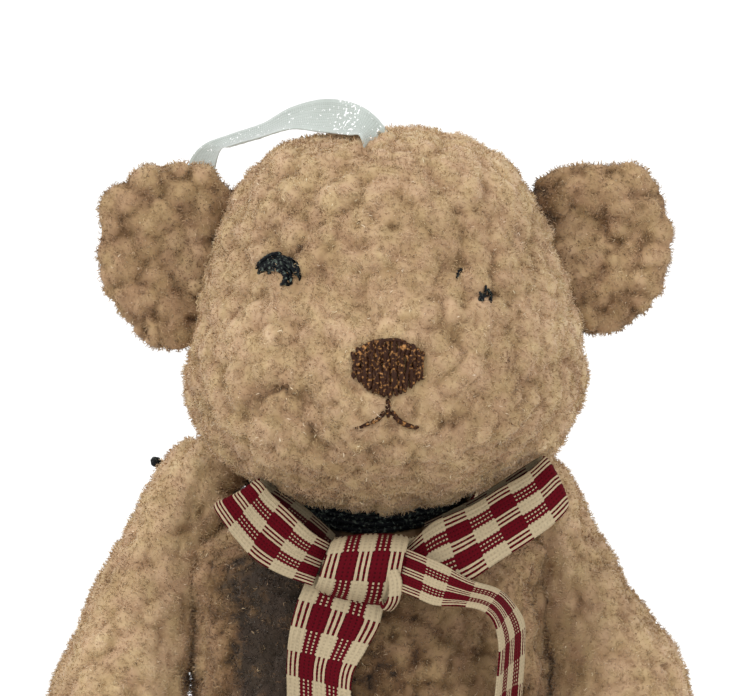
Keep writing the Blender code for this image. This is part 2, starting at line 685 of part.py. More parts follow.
def main():
    start_scene()
    floor = build_floor()
    grooves = build_neck()
    shoulder_bore = build_bore("shoulder_bore", SHOULDER, SHOULDER_TILT, 0, 2 * ARM_THICKNESS)
    hip_bore = build_bore("hip_bore", HIP, 0, LEG_SPLAY, 2 * LEG_THICKNESS)
    body_outline = stuffed("body", body_rings(), None, [*grooves, shoulder_bore, hip_bore, floor])
    head_frame = joint_frame("head_frame", HEAD, (0, HEAD_ROLL, 0))
    head_outline = stuffed("head", head_rings(), head_frame, [body_outline, *grooves])
    arms = [build_arm(1, "arm_left", shoulder_bore), build_arm(-1, "arm_right", shoulder_bore)]
    legs = [build_leg(1, "leg_left", hip_bore, floor), build_leg(-1, "leg_right", hip_bore, floor)]
    build_thread("shoulder_thread", SHOULDER, SHOULDER_TILT, 0, arms)
    build_thread("hip_thread", HIP, 0, LEG_SPLAY, legs)
    build_ear(1, "ear_left", head_frame, head_outline)
    build_ear(-1, "ear_right", head_frame, head_outline)
    build_face(head_outline)
    build_bow([head_outline, body_outline])
    build_hanger()


if __name__ == "__main__":
    main()
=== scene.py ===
import math
from itertools import product

import bpy
import numpy as np
from mathutils import Euler, Matrix, Vector
from mathutils.bvhtree import BVHTree


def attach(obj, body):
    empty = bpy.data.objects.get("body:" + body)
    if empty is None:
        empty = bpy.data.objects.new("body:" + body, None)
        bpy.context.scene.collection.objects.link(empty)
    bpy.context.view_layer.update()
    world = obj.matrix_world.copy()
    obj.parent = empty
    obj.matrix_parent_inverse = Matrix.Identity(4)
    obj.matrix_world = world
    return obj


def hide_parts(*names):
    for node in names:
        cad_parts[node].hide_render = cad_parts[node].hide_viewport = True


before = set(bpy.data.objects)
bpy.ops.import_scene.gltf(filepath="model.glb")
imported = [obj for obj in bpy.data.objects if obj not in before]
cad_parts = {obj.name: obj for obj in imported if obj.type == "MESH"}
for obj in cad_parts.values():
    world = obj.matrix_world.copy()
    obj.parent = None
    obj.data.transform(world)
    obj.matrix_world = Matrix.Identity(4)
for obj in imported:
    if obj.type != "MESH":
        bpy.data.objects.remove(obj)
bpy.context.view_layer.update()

# Camera, table and daylight
# The bear is seen from straight in front and a little above, cropped at the chest. It sits on a plain
# white table in soft daylight that comes mostly from above on its right.
MM = 0.001
VIEW_MIDDLE = Vector((0.19, -8.0, 48.15)) * MM
VIEW_DISTANCE = 600 * MM
VIEW_WIDTH = 55.9 * MM
VIEW_DOWN = math.radians(4)

camera = bpy.data.objects.new("camera", bpy.data.cameras.new("camera"))
camera.data.lens = camera.data.sensor_width * VIEW_DISTANCE / VIEW_WIDTH
camera.data.clip_end = 50
camera.location = VIEW_MIDDLE + VIEW_DISTANCE * Vector((0, -math.cos(VIEW_DOWN), math.sin(VIEW_DOWN)))
camera.rotation_euler = (math.radians(90) - VIEW_DOWN, 0, 0)
bpy.context.scene.collection.objects.link(camera)
bpy.context.scene.camera = camera
bpy.context.scene.view_settings.view_transform = "Standard"


def daylight(name, strength, softness, lean, turn):
    """A broad soft light from the front, leaning down from overhead and turned about the bear."""
    lamp = bpy.data.objects.new(name, bpy.data.lights.new(name, "SUN"))
    lamp.data.energy = strength
    lamp.data.angle = math.radians(softness)
    lamp.rotation_euler = (math.radians(lean), 0, math.radians(turn))
    bpy.context.scene.collection.objects.link(lamp)


daylight("window", strength=1.0, softness=30, lean=47, turn=-45)
daylight("room", strength=0.45, softness=60, lean=62, turn=38)


def feed(made, inputs):
    """Gives a node's inputs plain values or other nodes' outputs."""
    for name, value in inputs.items():
        if isinstance(value, bpy.types.NodeSocket):
            made.id_data.links.new(value, made.inputs[name])
        else:
            made.inputs[name].default_value = value


def node(tree, kind, inputs, **settings):
    """The first output of a new shader node."""
    made = tree.nodes.new(f"ShaderNode{kind}")
    for name, value in settings.items():
        setattr(made, name, value)
    feed(made, inputs)
    return made.outputs[0]


def maths(operation, *values):
    """The result of a Math node, in the tree that its values come from."""
    tree = next(value.id_data for value in values if isinstance(value, bpy.types.NodeSocket))
    return node(tree, "Math", dict(enumerate(values)), operation=operation)


def seen_directly(tree):
    """1 for what the camera, a gloss or a see-through thread looks at, and 0 for light on the bear."""
    path = tree.nodes.new("ShaderNodeLightPath").outputs
    either = maths("MAXIMUM", path["Is Camera Ray"], path["Is Glossy Ray"])
    return maths("MAXIMUM", either, path["Is Transmission Ray"])


def noise(tree, scale, detail=2.0, **inputs):
    """Noise with so many lumps to the metre."""
    place = tree.nodes.new("ShaderNodeTexCoord").outputs["Object"]
    return node(tree, "TexNoise", {"Vector": place, "Scale": scale, "Detail": detail, **inputs})


def principled(name, inputs):
    """A material, its nodes and its shader, with the finish that is the same all over set on it."""
    made = bpy.data.materials.new(name)
    made.use_nodes = True
    shader = made.node_tree.nodes["Principled BSDF"]
    feed(shader, inputs)
    return made, made.node_tree, shader


world = bpy.data.worlds.new("daylight")
bpy.context.scene.world = world
world.use_nodes = True
sky = world.node_tree
SKY = 0.92  # its light on the bear, where 1 is the white that the camera sees
strength = maths("MULTIPLY_ADD", seen_directly(sky), 1 - SKY, SKY)
feed(sky.nodes["Background"], {"Strength": strength, "Color": (1, 1, 1, 1)})

TABLE_REACH = 8  # metres
TABLE_GLOW = 0.15
table = bpy.data.meshes.new("table")
corners = [(x * TABLE_REACH, y * TABLE_REACH, 0) for x, y in ((-1, -1), (1, -1), (1, 1), (-1, 1))]
table.from_pydata(corners, [], [(0, 1, 2, 3)])
table_top = bpy.data.objects.new("table_top", table)
bpy.context.scene.collection.objects.link(table_top)
white, tree, shader = principled("white_table", {"Roughness": 0.9, "Base Color": (0.86, 0.86, 0.85, 1)})
glow = maths("MULTIPLY", seen_directly(tree), TABLE_GLOW)
feed(shader, {"Emission Color": (1, 1, 1, 1), "Emission Strength": glow})
table.materials.append(white)

# Hanging loop
# A narrow sheer ribbon of fine nylon thread with tiny glitter in it. It is sewn on at the crown, and
# has flopped back and over so that it lies behind the right ear.
LOOP_WIDTH = 3.0
LOOP_ROUTE = (  # places along its middle, and the way that its width lies there
    ((0.95, -11.6, 64.66), (0.74, 0.45, 0.20)),
    ((-0.05, -10.5, 65.36), (0.46, 0.83, 0.40)),
    ((-1.35, -9.5, 65.86), (0.26, 0.90, 1.05)),
    ((-3.65, -7.0, 65.96), (0.22, 0.80, 1.08)),
    ((-5.95, -4.9, 65.36), (0.0, 1.10, 0.65)),
    ((-8.25, -3.1, 64.26), (0.12, 1.15, 0.40)),
    ((-10.55, -1.2, 63.46), (-0.05, 1.20, 0.30)),
    ((-12.05, 0.9, 62.76), (-0.60, 1.10, 0.10)),
    ((-12.85, 3.0, 61.16), (-1.00, 1.00, 0.05)),
    ((-12.95, 5.2, 58.96), (-0.90, 1.00, -0.20)),
    ((-10.95, 6.0, 58.36), (-0.20, 1.00, -0.45)),
    ((-6.55, 4.6, 60.26), (-0.20, 0.90, -1.00)),
    ((-1.55, 1.7, 62.46), (-0.05, 1.00, -0.95)),
)
SUNK_AT_CROWN = np.array((0.9, 0.6, 0.5, 0.4, 0.1))  # how far its first part lies in the pile
# Weights of four rows that follow each other, for a smooth curve that goes through them or near them
THROUGH = np.array(((0, 2, 0, 0), (-1, 0, 1, 0), (2, -5, 4, -1), (-1, 3, -3, 1))) / 2
NEAR = np.array(((1, 4, 1, 0), (-3, 0, 3, 0), (3, -6, 3, 0), (-1, 3, -3, 1))) / 6


def curved(rows, step, shape):
    """Rows evenly spaced, a step in mm apart, along a smooth curve that goes through or near the given
    rows, from the second to the last but one. Returns them and how far along each one is."""
    rows = np.asarray(rows, float)
    share = np.linspace(0, 1, 17)
    weights = np.stack([share**0, share, share**2, share**3], axis=1) @ shape
    windows = np.stack([rows[i : len(rows) - 3 + i] for i in range(4)], axis=1)
    spans = np.einsum("tw,sw...->st...", weights, windows)
    fine = np.concatenate([spans[:, :-1].reshape(-1, *rows.shape[1:]), spans[-1, -1:]])
    gaps = np.linalg.norm(np.diff(fine, axis=0), axis=-1).reshape(len(fine) - 1, -1).mean(axis=1)
    run = np.concatenate([[0], np.cumsum(gaps)])
    stops = np.linspace(0, run[-1], max(2, round(run[-1] / step) + 1))
    after = np.clip(np.searchsorted(run, stops, side="right"), 1, len(run) - 1)
    share = ((stops - run[after - 1]) / (run[after] - run[after - 1])).reshape(-1, *[1] * (fine.ndim - 1))
    return fine[after - 1] * (1 - share) + fine[after] * share, stops


def through(rows, step):
    """Rows evenly spaced along a smooth curve that goes through all the given rows, from end to end."""
    rows = np.asarray(rows, float)
    rows = np.concatenate([2 * rows[:1] - rows[1:2], rows, 2 * rows[-1:] - rows[-2:-1]])
    return curved(rows, step, THROUGH)


def unit(ways):
    return ways / (np.linalg.norm(ways, axis=-1, keepdims=True) + 1e-12)


def make_piece(name, points, faces, finish, maps, values=None, normals=None):
    """One piece from points in mm, rows of four corners, and maps that hold a place for each corner."""
    mesh = bpy.data.meshes.new(name)
    mesh.vertices.add(len(points))
    mesh.vertices.foreach_set("co", np.ravel(points * MM).astype(np.float32))
    mesh.loops.add(faces.size)
    mesh.loops.foreach_set("vertex_index", np.ravel(faces).astype(np.int32))
    mesh.polygons.add(len(faces))
    mesh.polygons.foreach_set("loop_start", np.arange(0, faces.size, 4, dtype=np.int32))
    mesh.update(calc_edges=True)
    mesh.shade_smooth()
    for key, places in maps.items():
        layer = mesh.uv_layers.new(name=key)
        layer.uv.foreach_set("vector", np.ravel(places).astype(np.float32))
    for key, numbers in (values or {}).items():
        attribute = mesh.attributes.new(key, "FLOAT", "POINT")
        attribute.data.foreach_set("value", np.ravel(numbers).astype(np.float32))
    if normals is not None:
        mesh.normals_split_custom_set_from_vertices(normals.tolist())
    mesh.materials.append(finish)
    obj = bpy.data.objects.new(name, mesh)
    bpy.context.scene.collection.objects.link(obj)
    return obj


def tube_faces(rows, around):
    """Quads between the rows of a closed tube, and a strip of quads over each end."""
    row, place = np.meshgrid(np.arange(rows - 1) * around, np.arange(around), indexing="ij")
    following = (place + 1) % around
    corners = (row + place, row + following, row + around + following, row + around + place)
    cap = np.arange(around // 2 - 1)
    cap = np.stack([cap, around - 1 - cap, around - 2 - cap, cap + 1], axis=-1)
    sides = np.stack(corners, axis=-1).reshape(-1, 4)
    return np.concatenate([sides, cap, (rows - 1) * around + cap[:, ::-1]])


def tube_map(rows, around, low, high):
    """A place in one band of the square, from low to high, for each corner of a tube's quads."""
    row, place = np.meshgrid(np.arange(rows - 1), np.arange(around), indexing="ij")
    across = np.stack([place, place + 1, place + 1, place], axis=-1) / around
    up = low + (high - low) * np.stack([row, row, row + 1, row + 1], axis=-1) / (rows - 1)
    ends = np.zeros((2 * (around // 2 - 1), 4, 2)) + (0, low)
    return np.concatenate([np.stack([across, up], axis=-1).reshape(-1, 4, 2), ends])


def make_solid(name, tubes, finish, weave=None, values=None):
    """One piece from closed tubes, each an array of rows of points round. A weave is a place in mm in
    the cloth for each point."""
    faces, places, start = [], [], 0
    for i, tube in enumerate(tubes):
        rows, around = tube.shape[:2]
        part = tube_faces(rows, around)
        a, b, c = (tube.reshape(-1, 3)[part[:, k]] for k in range(3))
        if np.einsum("ij,ij->", np.cross(b - a, c - a), a - tube.mean(axis=(0, 1))) < 0:
            part = part[:, ::-1]
        faces.append(part + start)
        band = tube_map(rows, around, i / len(tubes), (i + 0.9) / len(tubes))
        places.append(band[:, ::-1] if part[0, 0] != 0 else band)
        start += rows * around
    faces = np.concatenate(faces)
    maps = {"OFBake": np.concatenate(places)}
    if weave is not None:
        maps["weave"] = weave[faces]
    points = np.concatenate([tube.reshape(-1, 3) for tube in tubes])
    return make_piece(name, points, faces, finish, maps, values)


def strip(edges, step, width, thickness, bulge, relief):
    """A ribbon between two edges, as a tube of points with its top and bottom, and its weave's places.

    It bulges in the middle and has the relief of its threads."""
    rows, run = through(edges, step)
    share = np.linspace(0, 1, round(width / step) + 1)
    flat = rows[:, :1] * (1 - share)[:, None] + rows[:, 1:] * share[:, None]
    out = unit(np.cross(np.gradient(flat, axis=0), np.gradient(flat, axis=1)))
    flat = flat + out * (bulge * 4 * share * (1 - share))[:, None]
    across, along = np.meshgrid(share * width, run)
    lift = thickness / 2 + relief(across, along)
    end = np.minimum(1, 8 * np.minimum(share, 1 - share) + 0.35)
    top, bottom = (flat + side * out * (lift * end)[..., None] for side in (1, -1))
    weave = np.stack([across, along], axis=-1)
    tube = np.concatenate([top, bottom[:, ::-1]], axis=1)
    return tube, np.concatenate([weave, weave[:, ::-1]], axis=1).reshape(-1, 2)


def belongs(piece, body, slot, *cad_nodes):
    """Says which body a piece rides on and hides the CAD nodes it stands for. The slot, naming its finish, is
    not used.
    """
    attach(piece, body)
    if cad_nodes:
        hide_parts(*cad_nodes)


def between(part, dark, light, start=0.0, end=1.0):
    """A colour that goes from dark to light as the part goes from start to end."""
    ramp = node(part.id_data, "ValToRGB", {"Fac": part})
    for stop, place, colour in zip(ramp.node.color_ramp.elements, (start, end), (dark, light)):
        stop.position, stop.color = place, (*colour, 1)
    return ramp


def on_cloth(tree):
    """How far across and how far along its cloth a place is, in mm."""
    return node(tree, "SeparateXYZ", {0: node(tree, "UVMap", {}, uv_map="weave")}).node.outputs[:2]


sheer, tree, shader = principled("sheer_nylon", {"Roughness": 0.35, "Sheen Weight": 0.5})
across, along = on_cloth(tree)
threads = []
for part, pitch in ((across, 0.16), (along, 0.2)):
    wave = maths("SINE", maths("MULTIPLY", part, math.tau / pitch))
    threads.append(maths("MULTIPLY_ADD", wave, 0.5, 0.5))
woven = maths("MAXIMUM", *threads)
edge = maths("ABSOLUTE", maths("SUBTRACT", across, LOOP_WIDTH / 2))
selvage = maths("GREATER_THAN", edge, LOOP_WIDTH / 2 - 0.3)
# Real glitter, painted as white specks where it glints, more of them near the crown.
glitter = noise(tree, 4200.0, detail=1.0)
crowded = maths("LESS_THAN", maths("ABSOLUTE", maths("SUBTRACT", along, 5.0)), 1.2)
glint = maths("GREATER_THAN", glitter, maths("MULTIPLY_ADD", crowded, -0.09, 0.70))
solid = maths("MULTIPLY_ADD", woven, 0.25, 0.68)
solid = maths("MAXIMUM", solid, maths("MULTIPLY", selvage, 0.95))
white = between(noise(tree, 500.0), (0.40, 0.45, 0.41), (0.56, 0.61, 0.57))
bright = node(tree, "Mix", {"Factor": glint, "A": white, "B": (1, 1, 1, 1)}, data_type="RGBA")
feed(shader, {"Base Color": bright.node.outputs["Result"], "Alpha": maths("MAXIMUM", solid, glint)})

middles, ways = (np.array(part) for part in zip(*LOOP_ROUTE))
middles[: len(SUNK_AT_CROWN), 2] -= SUNK_AT_CROWN
reaches = unit(ways) * LOOP_WIDTH / 2
loop_edges = np.stack([middles - reaches, middles + reaches], axis=1)
loop_edges[0] += (0, 0.5, -1.0)  # its ends are tucked into the pile
loop_edges[-1] -= (0, 0, 0.8)


def sheer_relief(across, along):
    crumple = 0.12 * np.sin(along * 2.1 + across) + 0.08 * np.sin(along * 5.3 - 2 * across)
    return 0.03 + 0.02 * np.sin(across * math.tau / 0.32) + 0.2 * np.abs(crumple)


tube, weave = strip(loop_edges, 0.1, LOOP_WIDTH, thickness=0.12, bulge=0.25, relief=sheer_relief)
hanging_loop = make_solid("sheer_hanging_loop", [tube], sheer, weave)
belongs(hanging_loop, "torso", "sheer_ribbon", "hanging_loop")
centreline, run = through(middles, 1.0)

# Body
# A pear of curly plush sewn inside out, turned and stuffed, flat where it sits. Its neck goes up into
# the head, and has no pile where the thread is wound round it.
BODY_HEIGHT = 42.5
BODY_HALF_WIDTH = 13.0
BODY_FRONT = 11.8
BODY_BACK = 10.8
SEAT_CUT = 0.5
NECK = np.array((0.3, -0.8, 38.5))
NECK_LEAN = math.radians(21)
NECK_RADIUS = 6.2
CURL = 1.75
PILE = 0.65  # the cloth lies this far under the tips
FIBRE_ROWS = 5  # pairs of points along each fibre
FIBRE_CURL = (0.11, 0.23)  # least and greatest radius that a fibre curls round
FIBRE_SWEEP = (2.6, 4.4)  # how far round it goes, in radians
FIBRE_BREADTH = (0.026, 0.046)  # half its width at the root
STRAY_SHARE = 0.015
BRIGHT_SHARE = 0.012
STRANDS_IN_PIECE = 24000


def random_lattice(seed, *more):
    return np.random.default_rng(seed).random((32, 32, 32, *more))


def lumps(places, spacing, seed):
    """Smooth random lumps between -1 and 1, about the spacing in mm apart."""
    lattice = 2 * random_lattice(seed) - 1
    at = places / spacing
    low = np.floor(at).astype(int)
    part = at - low
    part = part * part * (3 - 2 * part)
    total = np.zeros(len(places))
    for corner in product((0, 1), repeat=3):
        share = np.prod(np.where(corner, part, 1 - part), axis=1)
        total += share * lattice[tuple(((low + corner) % 32).T)]
    return total


def curls(places, seed):
    """The middle of the curl of pile that each place is in, its distance from it, and the curl's number."""
    jitter, number = random_lattice(seed, 3), random_lattice(seed + 1)
    pushed = [lumps(places, 1.3, seed + k) for k in (20, 21, 22)]
    places = places + 0.45 * np.stack(pushed, axis=1)
    cell = np.floor(places / CURL).astype(int)
    nearest = np.full(len(places), np.inf)
    middle, own = np.zeros_like(places), np.zeros(len(places))
    for step in product((-1, 0, 1), repeat=3):
        at = cell + step
        index = tuple((at % 32).T)
        candidate = (at + 0.1 + 0.8 * jitter[index]) * CURL
        away = np.linalg.norm(places - candidate, axis=1)
        nearer = away < nearest
        nearest[nearer] = away[nearer]
        middle[nearer] = candidate[nearer]
        own[nearer] = number[index][nearer]
    return middle, nearest, own


def oval(center, side, front, back, around):
    """Points round one section of a stuffed piece."""
    angle = np.linspace(0, math.tau, around, endpoint=False)[:, None]
    reach = np.where(np.cos(angle) > 0, front, -np.asarray(back))
    return center + np.asarray(side) * np.sin(angle) + reach * np.cos(angle)


def lofted(rings, step=0.28):
    """A closed form near the given sections, as rows of points round it."""
    rings = np.asarray(rings)
    half = rings.shape[1] // 2
    start, end = (np.zeros_like(ring) + ring.mean(axis=0) for ring in (rings[0], rings[-1]))
    rows = [np.roll(rings[0], half, axis=0), start, *rings, end, np.roll(rings[-1], half, axis=0)]
    form, _ = curved(rows, step, NEAR)
    return form[1:-1]


def outward(form):
    """The way out of a closed form at each of its points."""
    ways = np.cross(np.gradient(form, axis=0), np.roll(form, -1, axis=1) - np.roll(form, 1, axis=1))
    ways = unit(ways)
    return ways if np.sum(ways * (form - form.mean(axis=1, keepdims=True))) > 0 else -ways


def pits(places, seed):
    """0 in the pile, and up to 1 in its small scattered hollows."""
    return np.clip(2.2 * (lumps(places, 0.85, seed + 9) - 0.42), 0, 1)


def nowhere(places):
    return np.zeros(len(places))


def quad_corners(grid):
    """What a form's points hold at the four corners of each of its quads."""
    following = np.roll(grid, -1, axis=1)
    return [part.reshape(-1, 3) for part in (grid[:-1], following[:-1], grid[1:], following[1:])]


# dim is the painted shade of each place, and painted light where it is below 0
def strands(name, form, out, density, seed, bare, dim):
    """The curled fibres of the pile on a form, in as few pieces as may be."""
    rng = np.random.default_rng(seed)
    corners, ways = quad_corners(form), quad_corners(out)
    area = np.linalg.norm(np.cross(corners[1] - corners[0], corners[2] - corners[0]), axis=-1)
    count = round(area.sum() * density)
    quad = rng.choice(area.size, count, p=area / area.sum())
    u, v = rng.random((2, count, 1))
    shares = (1 - u) * (1 - v), u * (1 - v), (1 - u) * v, u * v
    roots = sum(share * corner[quad] for share, corner in zip(shares, corners))
    n = unit(sum(share * way[quad] for share, way in zip(shares, ways)))
    kept = (rng.random(count) > bare(roots)) & (roots[:, 2] > 0.25)
    roots, n = roots[kept], n[kept]
    order = np.argsort(roots[:, 1])
    roots, n = roots[order], n[order]
    count = len(roots)

    middle, away, number = curls(roots, seed)
    out_of_curl = unit(roots - middle - n * np.sum((roots - middle) * n, axis=1, keepdims=True))
    swirl = np.cross(n, out_of_curl) * np.where(number > 0.5, 1, -1)[:, None]
    turn = rng.normal(0, 0.9, (count, 1))
    ahead = unit(swirl * np.cos(turn) + out_of_curl * np.sin(turn))
    tip_over = rng.uniform(-1.0, 1.0, (count, 1))
    bend = unit(n * np.cos(tip_over) + np.cross(ahead, n) * np.sin(tip_over) - 0.25 * out_of_curl)
    ahead = unit(ahead - bend * np.sum(ahead * bend, axis=1, keepdims=True))
    radius = rng.uniform(*FIBRE_CURL, (count, 1, 1))
    stray = rng.random((count, 1, 1)) < STRAY_SHARE
    radius = np.where(stray, 1.4 * radius, radius)
    sweep = rng.uniform(*FIBRE_SWEEP, (count, 1, 1)) * np.where(stray, 0.45, 1)
    steps = np.linspace(0, 1, FIBRE_ROWS)[None, :, None]
    angle = -0.4 + sweep * steps
    curl = ahead[:, None] * np.sin(angle) + bend[:, None] * (1 - np.cos(angle))
    line = roots[:, None] + radius * curl - 0.05 * n[:, None]
    narrowing = (1 - 0.75 * steps**2) * np.where(stray, 0.5, 1)
    broad = rng.uniform(*FIBRE_BREADTH, (count, 1, 1)) * narrowing
    across = np.cross(ahead, bend)[:, None] * broad
    points = np.stack([line - across, line + across], axis=2)
    points[..., 2] = np.maximum(points[..., 2], 0)

    radial = ahead[:, None] * np.sin(angle) - bend[:, None] * np.cos(angle)
    soft = unit(n * 1.2 + 0.8 * unit(roots - middle))[:, None]
    facing = np.sum(radial * soft, axis=-1, keepdims=True)
    facing = np.sign(facing) * np.clip((np.abs(facing) - 0.4) / 0.5, 0, 1)
    normals = unit(0.4 * radial + 1.6 * facing * soft)
    normals = np.repeat(normals[:, :, None], 2, axis=2)

    height = np.sum((line - roots[:, None]) * n[:, None], axis=-1)
    # Painted light and shade: fibres are darker away from their curl's middle and in the pits, and lighter
    # towards their tips; a few near-white fibres are painted glints.
    tone = 0.55 + 0.05 * rng.normal(size=count) + 0.08 * (number - 0.5) + 0.10 * lumps(roots, 5.0, seed + 7)
    tone -= 0.32 * np.clip(away / CURL - 0.42, 0, 1) + 0.26 * pits(roots, seed) + dim(roots)
    shade = tone[:, None] + 0.16 * np.clip(height, -0.1, 0.8) - 0.03
    shade = np.where(rng.random((count, 1)) < BRIGHT_SHARE, 1.0 - dim(roots)[:, None], shade)
    shade = np.repeat(shade[:, :, None], 2, axis=2)

    for start in range(0, count, STRANDS_IN_PIECE):
        part = slice(start, min(start + STRANDS_IN_PIECE, count))
        size = part.stop - part.start
        first = 2 * (np.arange(size)[:, None, None] * FIBRE_ROWS + np.arange(FIBRE_ROWS - 1)[None, :, None])
        faces = (first + np.array((0, 2, 3, 1))).reshape(-1, 4)
        cells = math.ceil(math.sqrt(size))
        cell = np.stack(np.divmod(np.arange(size), cells), axis=-1)[:, None, None] / cells
        up, side = np.meshgrid(np.linspace(0.15, 0.85, FIBRE_ROWS), (0.25, 0.75), indexing="ij")
        places = (cell + np.stack([side, up], axis=-1) / cells).reshape(-1, 2)
        suffix = f"_{1 + start // STRANDS_IN_PIECE}" if count > STRANDS_IN_PIECE else ""
        yield make_piece(
            f"{name}_pile{suffix}",
            points[part].reshape(-1, 3),
            faces,
            plush,
            {"OFBake": places[faces]},
            {"shade": shade[part]},
            normals[part].reshape(-1, 3),
        )


def plush_piece(
    name, form, body, cad_node, seed, density=28, bare=nowhere, dim=nowhere, nap=1.0, settle=None
):
    """A stuffed piece of curly plush: the knobbly cloth and the curled fibres that stand out of it. Returns
    the cloth's points."""
    out = outward(form)
    flat = (form - PILE * nap * out).reshape(-1, 3)
    covered = 1 - bare(flat)
    middle, away, number = curls(flat, seed)
    dome = np.sqrt(np.clip(1 - (away / (0.74 * CURL)) ** 2, 0, 1))
    rise = dome * (0.28 + 0.42 * number) + 0.15 * lumps(flat, 0.95, seed + 3) - 0.22 * pits(flat, seed)
    rise = rise * covered * nap + 0.34 * lumps(flat, 3.3, seed + 4) + 0.30 * lumps(flat, 6.5, seed + 5)
    cloth = flat + out.reshape(-1, 3) * rise[:, None]
    if settle:
        cloth = settle(cloth)
    cloth[:, 2] = np.maximum(cloth[:, 2], 0.02)
    # Painted light and shade: the cloth is lighter on the top of each curl and darker in the pits.
    shade = 0.32 + 0.19 * dome + 0.08 * (number - 0.5) + 0.10 * lumps(flat, 5.0, seed + 7)
    shade -= 0.18 * pits(flat, seed) + dim(flat)
    cloth = cloth.reshape(form.shape)
    shell = make_solid(f"{name}_plush", [cloth], plush, values={"shade": shade})
    belongs(shell, body, "plush", cad_node)
    for piece in strands(name, cloth, outward(cloth), density, seed, bare, dim):
        belongs(piece, body, "plush")
    return cloth


pale_sheen = {"Sheen Weight": 0.4, "Sheen Roughness": 0.4, "Sheen Tint": (1, 0.93, 0.82, 1)}
plush, tree, shader = principled("curly_tan_plush", {"Roughness": 0.85, **pale_sheen})
lightness = node(tree, "Attribute", {}, attribute_name="shade").node.outputs["Fac"]
patchy = noise(tree, 900.0, 3.0)
lightness = maths("ADD", lightness, maths("MULTIPLY_ADD", patchy, 0.36, -0.18))
ramp = node(tree, "ValToRGB", {"Fac": lightness})
stops = ramp.node.color_ramp.elements
stops[0].position, stops[0].color = 0.0, (0.034, 0.019, 0.009, 1)
stops[1].position, stops[1].color = 0.98, (0.86, 0.73, 0.52, 1)
stops.new(0.15).color = (0.165, 0.088, 0.034, 1)
stops.new(0.35).color = (0.40, 0.258, 0.134, 1)
stops.new(0.62).color = (0.575, 0.412, 0.24, 1)
hues = between(noise(tree, 650.0), (1, 0.955, 1), (0.985, 1, 0.93), 0.35, 0.65)
dyed = node(tree, "Mix", {"Factor": 1.0, "A": ramp, "B": hues}, data_type="RGBA", blend_type="MULTIPLY")
grain = node(tree, "Bump", {"Height": noise(tree, 9000.0), "Distance": 0.00005, "Strength": 0.6})
feed(shader, {"Base Color": dyed.node.outputs["Result"], "Normal": grain})


def in_neck_frame(places, origin=NECK, lean=NECK_LEAN):
    """Places as seen along the neck, from a point on its axis."""
    return (places - origin) @ np.array(Matrix.Rotation(lean, 3, "X"))


def from_neck_frame(places, origin=NECK, lean=NECK_LEAN):
    """The other way round."""
    return places @ np.array(Matrix.Rotation(lean, 3, "X")).T + origin


BODY_SECTIONS = (  # height, width, front and back, as shares of the body's own
    (0.00, 0.50, 0.45, 0.62),
    (0.04, 0.65, 0.66, 0.86),
    (0.15, 0.69, 0.86, 1.00),
    (0.27, 0.80, 0.97, 1.02),
    (0.42, 1.06, 1.00, 1.00),
    (0.61, 1.12, 0.92, 0.95),
    (0.77, 1.04, 0.86, 0.88),
    (0.86, 1.05, 0.76, 0.82),
)
AROUND_BODY = 270
rings = []
for height, width, front, back in BODY_SECTIONS:
    center = (0, 0, height * (BODY_HEIGHT + SEAT_CUT) - SEAT_CUT)
    ways = (width * BODY_HALF_WIDTH, 0, 0), (0, -front * BODY_FRONT, 0), (0, back * BODY_BACK, 0)
    rings.append(oval(center, *ways, AROUND_BODY))
for along, share in ((-1.2, 1.0), (1.6, 0.82), (3.6, 0.42)):
    center = from_neck_frame((0, 0, along), NECK, NECK_LEAN / 2)
    depth = np.array((0, -share * 7.8, 0))
    rings.append(oval(center, (share * 8.2, 0, 0), depth, -depth, AROUND_BODY))


def under_shoulders(places):
    """1 where the arms press on the body, and 0 away from there."""
    x, y, z = places.T
    pressed = np.exp(-(((y - 3.6) / 3.0) ** 2) - ((z - 34.0) / 2.2) ** 2)
    return pressed * np.interp(np.abs(x), (8, 10), (0, 1))


def drawn_in(places):
    """The threads draw the cloth in, to the neck and under the shoulders."""
    places = places - under_shoulders(places)[:, None] * np.sign(places) * (1.5, 0, 0)
    q = in_neck_frame(places)
    away = np.hypot(q[:, 0], q[:, 1])
    most = np.interp(q[:, 2], (-6.5, -3.8, -2.4, -1.9), (20.0, 8.2, 7.0, NECK_RADIUS))
    q[:, :2] *= np.minimum(1, most / (away + 1e-9))[:, None]
    return from_neck_frame(q)


def bare_body(places):
    """Bare under the wound thread, and rubbed bare where the arms turn."""
    neck = np.interp(in_neck_frame(places)[:, 2], (-4.6, -3.6), (0, 1))
    return np.maximum(neck, np.interp(under_shoulders(places), (0.15, 0.4), (0, 1)))


def painted_chest_shade(places):
    """Painted shade: the pile is darkened on the chest, under the bow and between the arms, most of all by
    the right arm.
    """
    x, y, z = places.T
    across = np.interp(x, (-13, -10.5, -8.5, -5, 0, 6, 12), (0.18, 0.28, 0.48, 0.48, 0.23, 0.15, 0.24))
    across = across * (1 + 0.25 * lumps(places, 2.2, 15))
    return across * np.interp(z, (12, 19, 33, 38), (0.2, 1, 1, 0.7)) * np.interp(y, (-6.5, -1.5), (1, 0))


plush_piece(
    "body",
    lofted(rings),
    "torso",
    "body_cover",
    seed=11,
    bare=bare_body,
    # the chest's pile carries painted shade
    dim=painted_chest_shade,
    settle=drawn_in,
)

# Filling
# White polyester fibre, pushed into the body, the head and each limb. It shows only where a cover is
# taken off.
fibre, tree, shader = principled("polyester_fibre", {"Roughness": 0.9, "Sheen Weight": 0.3})
tangle = noise(tree, 1600.0, 6.0, Distortion=2.5)
# Painted shade: the white fibre is darker where its tangle is low, in its hollows.
off_white_with_painted_shade = between(tangle, (0.62, 0.61, 0.58), (0.93, 0.93, 0.91))
feed(shader, {"Base Color": off_white_with_painted_shade, "Normal": node(tree, "Bump", {"Height": tangle, "Distance": 0.0004})})
for part in ("body", "head", "arm_left", "arm_right", "leg_left", "leg_right"):
    for slot in bpy.data.objects[f"{part}_stuffing"].material_slots:
        slot.material = fibre

